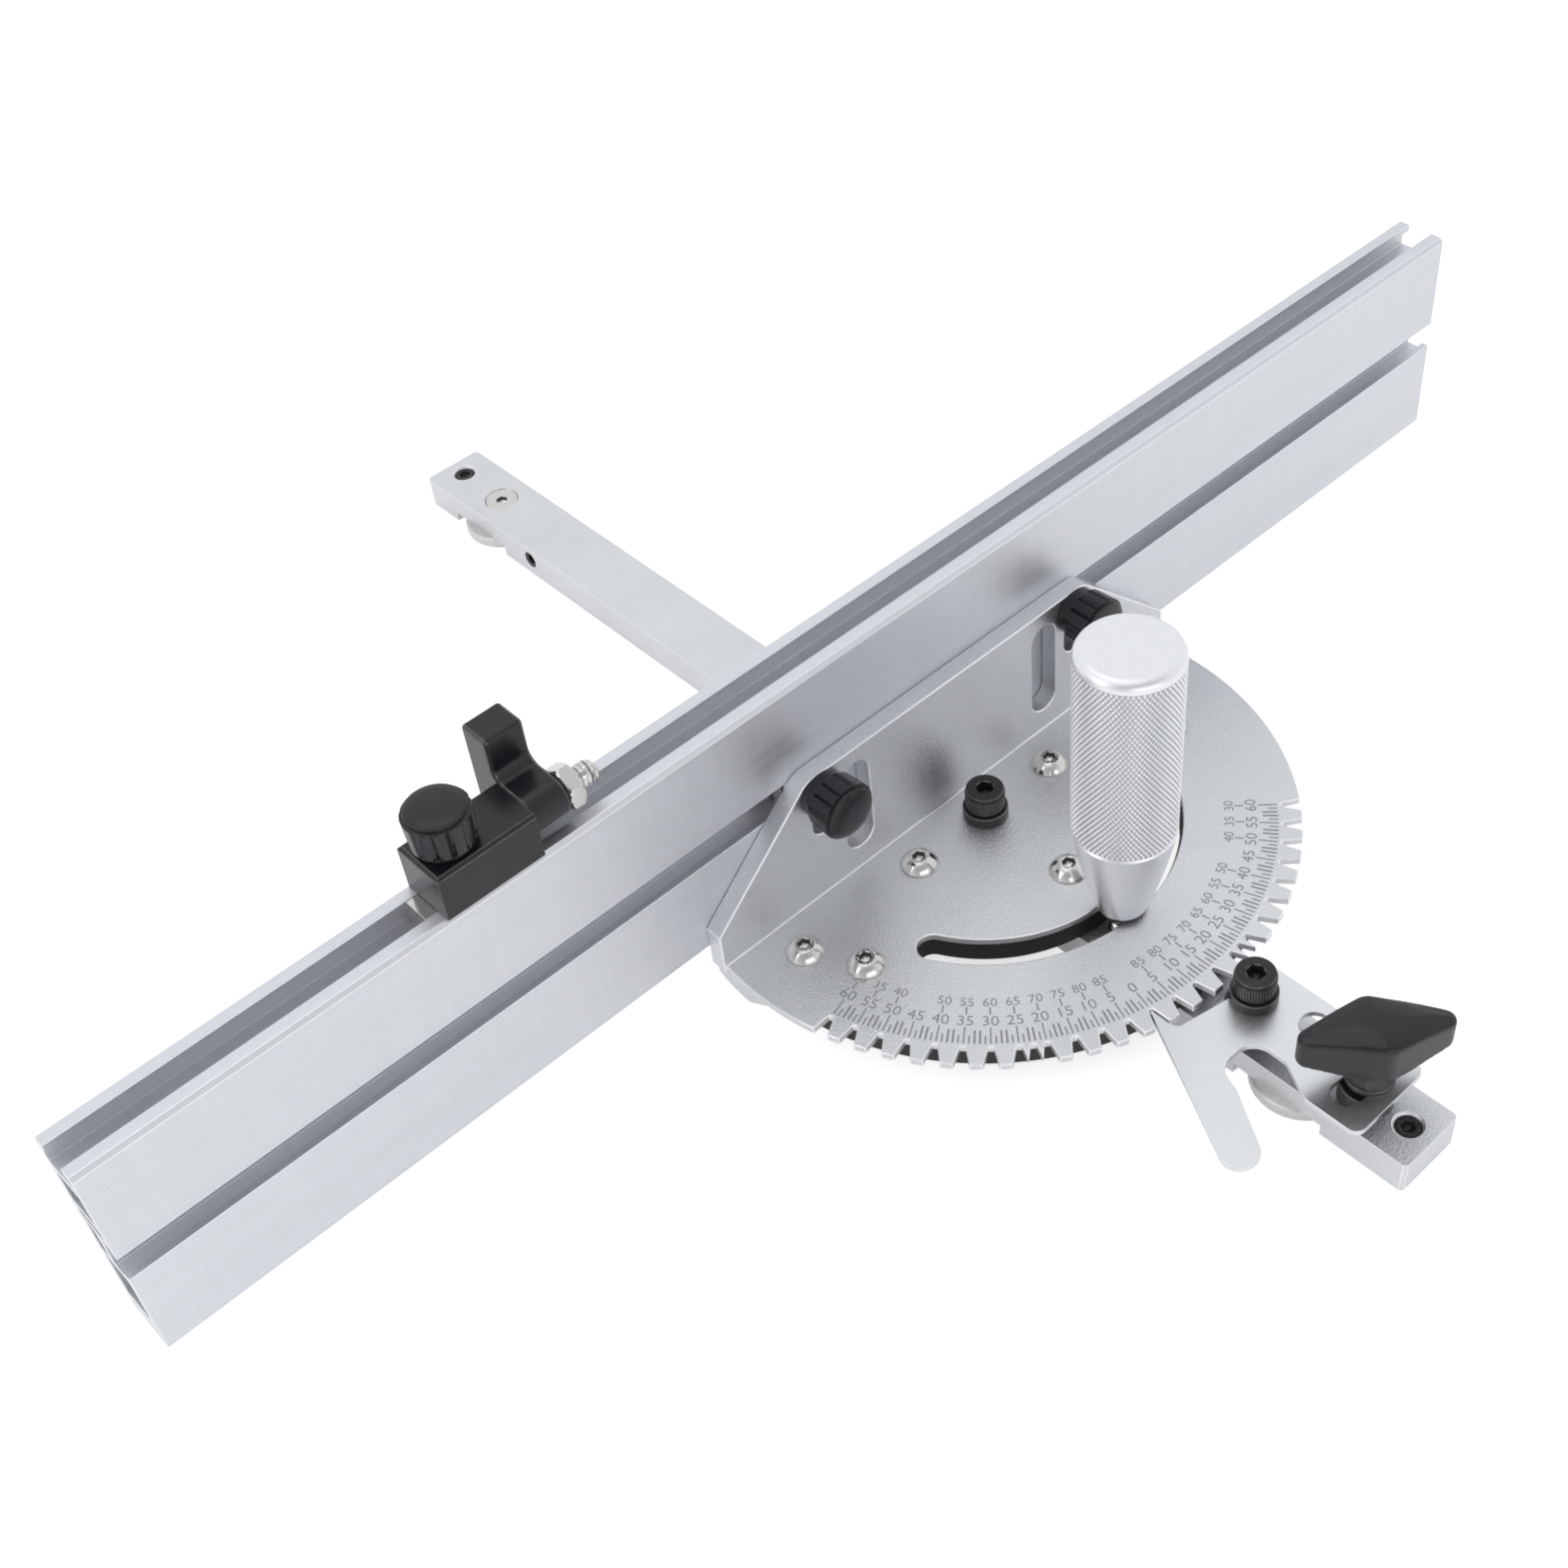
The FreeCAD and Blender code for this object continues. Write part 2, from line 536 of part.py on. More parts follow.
disc_screws = []
for number, disc_y in enumerate((front_disc_y, rear_disc_y), 1):
    screw = new_body(f"disc_screw_{number}")
    shank_end = disc_edge - bar_height + disc_screw_sink
    turned(screw, [(0, 0), (disc_screw_head, 0),
                   (disc_screw_radius, disc_screw_radius - disc_screw_head),
                   (disc_screw_radius, shank_end), (0, shank_end)])
    hex_socket(screw, small_socket, socket_depth, 0)
    place(screw, y=disc_y, z=bar_height - disc_screw_sink)
    disc_screws.append(screw)
nodes.append(group("disc_screws", disc_screws))


def set_screw(label, radius, length):
    screw = new_body(label)
    turned(screw, [(0, -length), (radius, -length), (radius, 0), (0, 0)])
    hex_socket(screw, small_socket, socket_depth, 0)
    return screw


end_screws = []
for number, end_y in enumerate(end_screw_spots, 1):
    screw = set_screw(f"end_set_screw_{number}", stud_radius, set_screw_length)
    place(screw, y=end_y, z=bar_height - set_screw_sink)
    end_screws.append(screw)
nodes.append(group("end_set_screws", end_screws))

screw = set_screw("side_set_screw", side_screw_radius, side_screw_length)
place(screw, set_screw_sink - bar_width / 2, side_screw_place, side_screw_level, (0, 1, 0), -90)
nodes.append(screw)

# Protractor bracket: half-round plate, thick foot, upright flange, notches and slots
bracket = new_body("protractor_bracket")
profile = new_sketch(bracket, "XY", z=plate_low - foot_depth)
circle(profile, 0, 0, rim_radius)
extrude(bracket, profile, foot_depth + plate_height)
foot_front = spigot_radius + thread_clearance + foot_wall
inner_half = rim_radius - horn_width
beyond = rim_radius * 1.05
profile = new_sketch(bracket, "XY", z=plate_low)
outline(profile, [(-beyond, -beyond), (beyond, -beyond), (beyond, -foot_start),
                  (inner_half, -foot_start), (inner_half, foot_front), (-inner_half, foot_front),
                  (-inner_half, -foot_start), (-beyond, -foot_start)])
extrude(bracket, profile, foot_depth, cut=True)
profile = new_sketch(bracket, "YZ")
outline(profile, [(-foot_start, plate_low), (-foot_start, plate_low - foot_depth),
                  (foot_slope - foot_start, plate_low - foot_depth)])
extrude(bracket, profile, beyond * 2, cut=True, both=True)
profile = new_sketch(bracket, "XY", z=plate_top)
rectangle(profile, -beyond, beyond, flange_back, beyond)
extrude(bracket, profile, foot_depth + plate_height, cut=True)
profile = new_sketch(bracket, "XZ", y=flange_back)
outline(profile, [(-rim_radius, plate_low), (-rim_radius, flange_shoulder),
                  (-flange_top_half, flange_top), (flange_top_half, flange_top),
                  (rim_radius, flange_shoulder), (rim_radius, plate_low)])
extrude(bracket, profile, flange_thickness)
soften(bracket, "Fillet", flange_corner,
       [("y", -flange_top_half, flange_top), ("y", flange_top_half, flange_top)])
bolt_slot_high = bolt_level + bolt_slot_width / 2
profile = new_sketch(bracket, "XZ", y=flange_back - flange_thickness)
for side in (-1, 1):
    round_slot(profile, window_place * side, window_low, window_high, window_width)
    round_slot(profile, bolt_place * side, bolt_slot_low, bolt_slot_high, bolt_slot_width)
extrude(bracket, profile, flange_thickness, cut=True)


def curved_slot(body, low, high):
    """Slot round the pivot, even about the bar's axis, with round ends."""
    sketch = new_sketch(body, "YZ")
    rectangle(sketch, slot_width / -2 - slot_middle, slot_width / 2 - slot_middle, low, high)
    feature = body.newObject("PartDesign::Groove", "groove")
    feature.Profile = sketch
    feature.ReferenceAxis = (sketch, ["V_Axis"])
    feature.Midplane = True
    end_angle = scale_half + slot_margin
    bind(feature, "Angle", end_angle * 2)
    body.Tip = feature
    sketch = new_sketch(body, "XY", z=high)
    for side in (-1, 1):
        circle(sketch, slot_middle * sine(end_angle) * side, -slot_middle * cosine(end_angle),
               slot_width / 2)
    extrude(body, sketch, high - low, cut=True)


curved_slot(bracket, plate_low, plate_top)


def notches(first_angle, sweep, count):
    """Even row of notches round the rim, from first_angle."""
    sketch = new_sketch(bracket, "XY", z=plate_top, turn=first_angle)
    root = rim_radius - notch_depth
    mouth = rim_radius + notch_depth
    mouth_half = notch_mouth * 2 - notch_root
    outline(sketch, [(-mouth_half, -mouth), (-notch_root, -root), (notch_root, -root),
                     (mouth_half, -mouth)])
    cut = extrude(bracket, sketch, plate_height, cut=True)
    pattern = bracket.newObject("PartDesign::PolarPattern", "notch_pattern")
    pattern.Originals = [cut]
    pattern.Axis = (sketch, ["N_Axis"])
    pattern.Occurrences = count
    bind(pattern, "Angle", sweep)
    bracket.Tip = pattern


whole_steps = round(2 * scale_half.number / notch_step.number)
notches(-index_angle - scale_half, notch_step * whole_steps, whole_steps + 1)
notches(-index_angle - half_step, half_step * 2, 2)

outer_screw_place = rim_radius - outer_screw_inset
slant_screw_place = rim_radius - slant_screw_inset
slant_x = slant_screw_place * cosine(slant_screw_angle)
slant_y = -slant_screw_place * sine(slant_screw_angle)
base_screw_spots = [(as_size(0), -front_screw_place)]
for side in (-1, 1):
    base_screw_spots += [(inner_screw_place * side, as_size(0)),
                         (outer_screw_place * side, as_size(0)), (slant_x * side, slant_y)]


def head_holes(body, low, high, screw_hole, screw_floor):
    """Pivot hole right through, and the screws' holes down to their floor."""
    sketch = new_sketch(body, "XY", z=high)
    circle(sketch, 0, 0, spigot_radius + thread_clearance)
    extrude(body, sketch, high - low, cut=True)
    sketch = new_sketch(body, "XY", z=high)
    for across, up in base_screw_spots:
        circle(sketch, across, up, screw_hole)
    extrude(body, sketch, high - screw_floor, cut=True)


base_screw_hole = base_screw_radius + thread_clearance
head_holes(bracket, plate_low, plate_top, base_screw_hole, plate_low)
nodes.append(bracket)

# Black pad between the bar and the plate, and the screws that hold the plate to it
pad_low = bar_height + running_gap
pad = new_body("glide_base")
profile = new_sketch(pad, "XY", z=pad_low)
circle(profile, 0, 0, rim_radius - pad_inset)
extrude(pad, profile, plate_low - pad_low)
profile = new_sketch(pad, "XY", z=plate_low)
rectangle(profile, -rim_radius, rim_radius, foot_front, rim_radius)
extrude(pad, profile, plate_low - pad_low, cut=True)
curved_slot(pad, pad_low, plate_low)
screw_end = pad_low + base_screw_end
head_holes(pad, pad_low, plate_low, base_screw_hole, screw_end)
nodes.append(pad)

base_screws = []
for number, (across, up) in enumerate(base_screw_spots, 1):
    screw = new_body(f"base_screw_{number}")
    drop = screw_end - plate_top
    crown = small_socket * 0.8
    turned(screw, [(0, drop), (base_screw_radius, drop), (base_screw_radius, 0),
                   (base_screw_head, 0), (base_screw_head * 0.85, base_screw_dome * 0.6),
                   (crown, base_screw_dome), (0, base_screw_dome)])
    hex_socket(screw, small_socket, base_socket_depth, base_screw_dome)
    place(screw, across, up, plate_top)
    base_screws.append(screw)
nodes.append(group("base_screws", base_screws))


def collar(label, spot_y, level):
    """Collar that stands on the bar with a spigot, so that what it holds stays free to turn."""
    ring = new_body(label)
    spigot = level - bar_height
    turned(ring, [(stud_hole, -spigot), (spigot_radius, -spigot), (spigot_radius, 0),
                  (collar_radius, 0), (collar_radius, collar_height),
                  (stud_hole, collar_height)])
    place(ring, y=spot_y, z=level)
    return ring


def cap_screw(label, spot_y, level):
    """Socket cap screw with its head's underside at the level."""
    screw = new_body(label)
    end = stud_hole_floor + stud_end_gap - level
    turned(screw, [(0, end), (stud_radius, end), (stud_radius, 0), (cap_radius, 0),
                   (cap_radius, cap_height - cap_edge), (cap_radius - cap_edge, cap_height),
                   (0, cap_height)])
    hex_socket(screw, cap_socket, cap_socket_depth, cap_height)
    place(screw, y=spot_y, z=level)
    return screw


pivot_level = plate_top + running_gap
nodes.append(collar("pivot_collar", as_size(0), pivot_level))
nodes.append(cap_screw("pivot_screw", as_size(0), pivot_level + collar_height))

# Index pawl: pointer tip in the zero notch, thumb finger, slot for the wing's stud
pawl = new_body("index_pawl")
out_x, out_y = -sine(index_angle), -cosine(index_angle)
side_x, side_y = cosine(index_angle), -sine(index_angle)


def rim_spot(radius, side):
    """Point beside the zero notch's middle line."""
    return radius * out_x + side * side_x, radius * out_y + side * side_y


tip_radius = rim_radius - notch_depth + tip_gap
flank_half = notch_mouth - tip_flank
edge_radius = rim_radius + pawl_rim_gap
finger_y = -(pawl_place + finger_reach)
throat_y = -(pawl_place + throat_top)
pawl_near = -(wing_place + pawl_end)
waist = (-waist_place, -(pawl_place + waist_drop))
finger_corners = [(-finger_outer, finger_y), (-finger_inner, finger_y - finger_slant)]
finger_back = (-finger_root, -(pawl_place + finger_root_drop))
throat_corners = [(-throat_left, throat_y), (-throat_right, throat_y),
                  (-throat_right, throat_y - throat_side), (-pawl_left, throat_rise - wing_place)]
near_corners = [(-pawl_left, pawl_near), (pawl_right, pawl_near)]
shoulder = [(pawl_right, shoulder_rise - edge_radius), (-shoulder_start, -edge_radius)]
bay = rim_spot(rim_radius + tip_bay_radius, tip_bay)
profile = new_sketch(pawl, "XY", z=pawl_low)
outline(profile, [rim_spot(tip_radius, -tip_half), rim_spot(rim_radius, -flank_half), waist]
        + finger_corners + [finger_back] + throat_corners + near_corners + shoulder
        + [bay, rim_spot(rim_radius, flank_half), rim_spot(tip_radius, tip_half)])
extrude(pawl, profile, pawl_height)
for radius, corners in ((finger_radius, finger_corners), (throat_corner, throat_corners),
                        (pawl_corner, near_corners), (tip_bay_radius, [bay])):
    soften(pawl, "Fillet", radius, [("z",) + corner for corner in corners])
profile = new_sketch(pawl, "XY", z=pawl_top)
circle(profile, 0, -pawl_place, spigot_radius + thread_clearance)
circle(profile, access_place, front_disc_y, access_radius)
extrude(pawl, profile, pawl_height, cut=True)
# The stud's slot lies along the chord of its path round the pawl's pivot
chord_turn = Size(-90, "(-90)") - pawl_travel / 2
stud_play = stud_radius + wing_slot_play
profile = new_sketch(pawl, "XY", y=-wing_place, z=pawl_top, turn=chord_turn)
round_slot(profile, as_size(0), -pawl_reach * sine(pawl_travel) - stud_play, stud_play,
           stud_play * 2)
extrude(pawl, profile, pawl_height, cut=True)
nodes.append(pawl)


def ring(label, bore, outer, spot_y, low, high):
    piece = new_body(label)
    turned(piece, [(bore, 0), (outer, 0), (outer, high - low), (bore, high - low)])
    place(piece, y=spot_y, z=low)
    return piece


pawl_level = pawl_top + running_gap
nodes.append(ring("pawl_spacer", spigot_radius + thread_clearance, spacer_radius, -pawl_place,
                  bar_height, spacer_top))
nodes.append(collar("pawl_collar", -pawl_place, pawl_level))
nodes.append(cap_screw("pawl_screw", -pawl_place, pawl_level + collar_height))

# Wing knob: its stud clamps the pawl between a washer and a spacer
wing_low = pawl_level + washer_height
nodes.append(ring("wing_spacer", stud_radius + wing_spacer_play, spacer_radius, -wing_place, bar_height,
                  spacer_top))
nodes.append(ring("wing_washer", stud_hole, collar_radius, -wing_place, pawl_level, wing_low))
wing_stud = new_body("wing_stud")
wing_stud_low = stud_hole_floor + stud_end_gap
wing_stud_high = wing_low + wing_grip
turned(wing_stud, [(0, wing_stud_low), (stud_radius, wing_stud_low),
                   (stud_radius, wing_stud_high), (0, wing_stud_high)])
place(wing_stud, y=-wing_place)
nodes.append(wing_stud)

wing = new_body("wing_knob")
profile = new_sketch(wing, "XY", z=wing_under)
wing_tips = [(-wing_half_length, as_size(0)), (wing_half_length, as_size(0))]
wing_sides = [(wing_skew, -wing_half_width), (-wing_skew, wing_half_width)]
outline(profile, [wing_tips[0], wing_sides[0], wing_tips[1], wing_sides[1]])
extrude(wing, profile, wing_crown - wing_under)
soften(wing, "Fillet", wing_tip_radius, [("z",) + corner for corner in wing_tips])
soften(wing, "Fillet", wing_side_radius, [("z",) + corner for corner in wing_sides])
# The wing's side view: its top is an arc, its underside rises from the hub to the tips
profile = new_sketch(wing, "XZ", y=wing_half_width * 1.5)
wing_tip_high = wing_crown - wing_fall
rectangle(profile, wing_half_length * -1.5, wing_half_length * 1.5, 0, wing_crown * 1.5)
outline(profile, [(-wing_half_length, wing_tip_low), (-collar_radius, wing_under),
                  (collar_radius, wing_under), (wing_half_length, wing_tip_low),
                  (wing_half_length, wing_tip_high), (-wing_half_length, wing_tip_high)], bow=4,
        bow_radius=(wing_half_length * wing_half_length + wing_fall * wing_fall) / (wing_fall * 2))
extrude(wing, profile, wing_half_width * 3, cut=True, back=True)


def on_wing_top(edge):
    """True for the edges round the wing's top."""
    return edge.CenterOfMass.z > (wing_tip_high - wing_edge).number


soften(wing, "Fillet", wing_edge, on_wing_top)
turned(wing, [(0, 0), (collar_radius, 0), (collar_radius + wing_hub_flare, wing_under),
              (collar_radius + wing_hub_flare, wing_tip_low), (0, wing_tip_low)])
turned(wing, [(0, 0), (stud_hole, 0), (stud_hole, wing_grip + running_gap),
              (0, wing_grip + running_gap)], cut=True)
place(wing, 0, -wing_place, wing_low, (0, 0, 1), wing_turn)
nodes.append(wing)

# Handle: turned grip that screws down on a stud in the bar
handle_low = pivot_level + washer_height
nodes.append(ring("handle_washer", stud_hole, collar_radius, -slot_middle, pivot_level,
                  handle_low))
handle_stud = new_body("handle_stud")
stud_top = handle_low + handle_stud_grip
turned(handle_stud, [(0, wing_stud_low), (stud_radius, wing_stud_low), (stud_radius, stud_top),
                     (0, stud_top)])
place(handle_stud, y=-slot_middle)
nodes.append(handle_stud)

grip = new_body("handle_grip")
taper_rise = handle_taper - handle_low
height = handle_top - handle_low
grip_profile = [(stud_hole, 0), (handle_foot, 0), (handle_waist, taper_rise / 2),
                (handle_radius, taper_rise), (handle_radius, height - handle_rim)]
grip_profile += [(handle_radius - handle_rim * (1 - math.cos(math.radians(turn))),
                  height - handle_rim * (1 - math.sin(math.radians(turn))))
                 for turn in (30, 60, 90)]
grip_profile += [(0, height), (0, handle_bore), (stud_hole, handle_bore)]
turned(grip, grip_profile)
place(grip, y=-slot_middle, z=handle_low)
nodes.append(grip)

# Fence: hollow extrusion with a T-slot in its top and one in its front face
fence = new_body("fence_extrusion")
profile = new_sketch(fence, "YZ", x=-fence_left, y=fence_front, z=fence_low)
half_throat = throat_width / 2
half_channel = channel_width / 2
lip_floor = lip_thickness + channel_depth
top_floor = fence_height - lip_floor
face_slot = [(0, face_slot_level - half_throat),
             (lip_thickness, face_slot_level - half_throat),
             (lip_thickness, face_slot_level - half_channel),
             (lip_floor, face_slot_level - half_channel),
             (lip_floor, face_slot_level + half_channel),
             (lip_thickness, face_slot_level + half_channel),
             (lip_thickness, face_slot_level + half_throat),
             (0, face_slot_level + half_throat)]
top_slot = [(top_slot_place - half_throat, fence_height),
            (top_slot_place - half_throat, fence_height - lip_thickness),
            (top_slot_place - half_channel, fence_height - lip_thickness),
            (top_slot_place - half_channel, top_floor),
            (top_slot_place + half_channel, top_floor),
            (top_slot_place + half_channel, fence_height - lip_thickness),
            (top_slot_place + half_throat, fence_height - lip_thickness),
            (top_slot_place + half_throat, fence_height)]
outline(profile, [(fence_chamfer, 0), (0, fence_chamfer)] + face_slot
        + [(0, fence_height - fence_chamfer), (fence_chamfer, fence_height)] + top_slot
        + [(fence_thickness, fence_height), (fence_thickness, 0)])
inner_back = fence_thickness - fence_wall
slot_low = face_slot_level - half_channel
slot_high = face_slot_level + half_channel
rectangle(profile, fence_wall, inner_back, fence_sole, slot_low - fence_web)
rectangle(profile, lip_floor + fence_web, inner_back, slot_low, slot_high)
rectangle(profile, fence_wall, inner_back, slot_high + fence_web, middle_web - fence_web / 2)
rectangle(profile, fence_wall, inner_back, middle_web + fence_web / 2, top_floor - fence_web)
extrude(fence, profile, fence_left + fence_right)
nodes.append(fence)


def round_knob(label):
    """Knob on an upright axis, its neck's underside at height 0."""
    knob = new_body(label)
    fluted_top = knob_neck + knob_fluted
    rim_top = fluted_top + knob_rim
    bore_top = bolt_grip + running_gap
    turned(knob, [(stud_hole, 0), (knob_neck_radius, 0), (knob_neck_radius, knob_neck),
                  (knob_root, knob_neck), (knob_radius, fluted_top), (knob_rim_radius, fluted_top),
                  (knob_rim_radius, rim_top), (knob_dome_flat, rim_top + knob_dome),
                  (0, rim_top + knob_dome), (0, bore_top), (stud_hole, bore_top)])
    sketch = new_sketch(knob, "XY", z=knob_neck)
    floor = knob_radius - flute_depth
    outside = knob_radius + flute_depth
    outline(sketch, [(floor, -flute_root), (outside, -flute_mouth), (outside, flute_mouth),
                     (floor, flute_root)])
    cut = extrude(knob, sketch, knob_fluted, cut=True, back=True)
    pattern = knob.newObject("PartDesign::PolarPattern", "flute_pattern")
    pattern.Originals = [cut]
    pattern.Axis = (sketch, ["N_Axis"])
    pattern.Angle = 360
    pattern.Occurrences = flute_count
    knob.Tip = pattern
    return knob


# T-bolts through the flange: heads in the face slot, knobs on the user's side
knob_base_y = flange_back - flange_thickness - running_gap
bolt_head_y = fence_front + lip_thickness + running_gap
bolt_length = bolt_head_y - knob_base_y + bolt_grip
for side_name, side in (("left", -1), ("right", 1)):
    bolt = new_body(f"fence_bolt_{side_name}")
    profile = new_sketch(bolt, "XY", z=-bolt_head_height)
    head_half = half_channel - running_gap
    rectangle(profile, bolt_head_length / -2, bolt_head_length / 2, -head_half, head_half)
    extrude(bolt, profile, bolt_head_height)
    profile = new_sketch(bolt, "XY")
    circle(profile, 0, 0, stud_radius)
    extrude(bolt, profile, bolt_length)
    place(bolt, bolt_place * side, bolt_head_y, bolt_level, (1, 0, 0), 90)
    nodes.append(bolt)
    knob = round_knob(f"fence_knob_{side_name}")
    place(knob, bolt_place * side, knob_base_y, bolt_level, (1, 0, 0), 90)
    nodes.append(knob)

# Stop block on the fence's top, clamped by a knob whose stud screws into a T-nut
block_low = fence_top + running_gap
block = new_body("stop_block")
profile = new_sketch(block, "XY", z=block_low)
rectangle(profile, -stop_left, stop_right, fence_front, fence_back)
extrude(block, profile, stop_height)
block_high = block_low + stop_height
soften(block, "Chamfer", stop_corner,
       [("x", fence_front, block_high), ("x", fence_back, block_high),
        ("y", -stop_left, block_high)])
stop_knob_x = stop_knob_inset - stop_left
profile = new_sketch(block, "XY", z=block_high)
circle(profile, stop_knob_x, top_slot_y, stud_hole)
extrude(block, profile, stop_height, cut=True)
flip_bolt_x = stop_knob_x + stud_hole + flip_bolt_gap
profile = new_sketch(block, "YZ", x=stop_right)
circle(profile, flip_y, flip_z, stud_hole)
extrude(block, profile, stop_right - flip_bolt_x, cut=True)
nodes.append(block)

tnut = new_body("stop_tnut")
nut_left = -stop_left - key_overhang
nut_high = fence_top - lip_thickness - running_gap
nut_low = top_floor + fence_low + running_gap
profile = new_sketch(tnut, "YZ", x=nut_left, y=top_slot_y)
nut_half = half_throat - running_gap
wide_half = half_channel - running_gap
outline(profile, [(-wide_half, nut_low), (wide_half, nut_low), (wide_half, nut_high),
                  (nut_half, nut_high), (nut_half, fence_top - running_gap),
                  (-nut_half, fence_top - running_gap), (-nut_half, nut_high),
                  (-wide_half, nut_high)])
extrude(tnut, profile, stop_length)
profile = new_sketch(tnut, "XY", z=fence_top)
circle(profile, stop_knob_x, top_slot_y, stud_hole)
extrude(tnut, profile, lip_floor, cut=True)
nodes.append(tnut)

stop_stud = new_body("stop_stud")
knob_low = block_high + running_gap
stud_low = nut_low + stud_end_gap
turned(stop_stud, [(0, stud_low), (stud_radius, stud_low), (stud_radius, knob_low + bolt_grip),
                   (0, knob_low + bolt_grip)])
place(stop_stud, stop_knob_x, top_slot_y)
nodes.append(stop_stud)
knob = round_knob("stop_knob")
place(knob, stop_knob_x, top_slot_y, knob_low)
nodes.append(knob)

# Flip arm: hangs over the fence's far face on a bolt along X, with a tab to lift it by
arm = new_body("flip_arm")
blade_front = fence_back + flip_gap - flip_y
blade_back = blade_front + blade_thickness
blade_end = blade_low + fence_low - flip_z
profile = new_sketch(arm, "YZ")
outline(profile, [(0, -flip_boss), (blade_front, -flip_boss), (blade_front, blade_end),
                  (blade_back, blade_end), (blade_back, blade_rise), (blade_front, blade_rise),
                  (blade_front, flip_boss), (0, flip_boss)])
extrude(arm, profile, flip_width)
profile = new_sketch(arm, "YZ")
circle(profile, 0, 0, flip_boss)
extrude(arm, profile, flip_width)
soften(arm, "Fillet", blade_edge,
       [("x", blade_front, blade_end), ("x", blade_back, blade_end),
        ("x", blade_back, blade_rise), ("x", blade_front, blade_rise),
        ("x", blade_front, -flip_boss)])
soften(arm, "Fillet", tab_fillet, [("x", blade_front, flip_boss)])
profile = new_sketch(arm, "YZ")
circle(profile, 0, 0, stud_hole)
extrude(arm, profile, flip_width, cut=True, back=True)
arm_x = stop_right + running_gap
place(arm, arm_x, flip_y, flip_z)
nodes.append(arm)

flip_bolt = new_body("flip_bolt")
nut_x = arm_x + flip_width + running_gap
flip_bolt_length = nut_x + nut_height + nut_overhang - flip_bolt_x
turned(flip_bolt, [(0, 0), (stud_radius, 0), (stud_radius, flip_bolt_length),
                   (0, flip_bolt_length)])
place(flip_bolt, flip_bolt_x, flip_y, flip_z, (0, 1, 0), 90)
nodes.append(flip_bolt)

flip_nut = new_body("flip_nut")
profile = new_sketch(flip_nut, "XY")
hexagon(profile, nut_flats)
circle(profile, 0, 0, stud_hole)
extrude(flip_nut, profile, nut_height)
place(flip_nut, nut_x, flip_y, flip_z, (0, 1, 0), 90)
nodes.append(flip_nut)

doc.recompute()

faults = [item.Label for item in doc.Objects if {"Invalid", "Error"} & set(item.State)]
faults += [node.Label for node in nodes if node.Shape.isNull() or not node.Shape.isValid()]
if faults:
    raise SystemExit("not built: " + ", ".join(faults))

os.makedirs("parts", exist_ok=True)
for node in nodes:
    node.Shape.exportStep(f"parts/{node.Label}.step")
    box = node.Shape.BoundBox
    print(f"{node.Label:20s} solids {len(node.Shape.Solids)} volume {node.Shape.Volume:9.1f} "
          f"x {box.XMin:7.1f} {box.XMax:7.1f} y {box.YMin:7.1f} {box.YMax:7.1f} "
          f"z {box.ZMin:6.1f} {box.ZMax:6.1f}")
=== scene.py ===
import bmesh
import bpy
import json
import math
from mathutils import Matrix, Vector


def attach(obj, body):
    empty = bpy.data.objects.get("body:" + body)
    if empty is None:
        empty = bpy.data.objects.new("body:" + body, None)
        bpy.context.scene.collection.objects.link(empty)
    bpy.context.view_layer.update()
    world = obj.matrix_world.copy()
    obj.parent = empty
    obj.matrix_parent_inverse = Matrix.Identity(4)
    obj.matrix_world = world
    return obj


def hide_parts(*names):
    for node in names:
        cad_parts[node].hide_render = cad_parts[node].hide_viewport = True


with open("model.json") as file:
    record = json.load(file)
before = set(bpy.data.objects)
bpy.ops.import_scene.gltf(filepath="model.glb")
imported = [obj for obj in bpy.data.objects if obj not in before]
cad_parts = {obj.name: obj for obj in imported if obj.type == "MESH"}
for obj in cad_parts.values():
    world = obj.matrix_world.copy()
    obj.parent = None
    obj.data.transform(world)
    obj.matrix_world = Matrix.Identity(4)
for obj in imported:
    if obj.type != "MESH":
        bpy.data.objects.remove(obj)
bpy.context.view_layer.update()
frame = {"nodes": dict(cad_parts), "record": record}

# Light, table and camera. The gauge lies on a white table in a white room, under three wide soft
# lamps. The room is darker on the photographer's side, which gives the bare metal its contrast.
MM = 0.001
collection = bpy.context.scene.collection


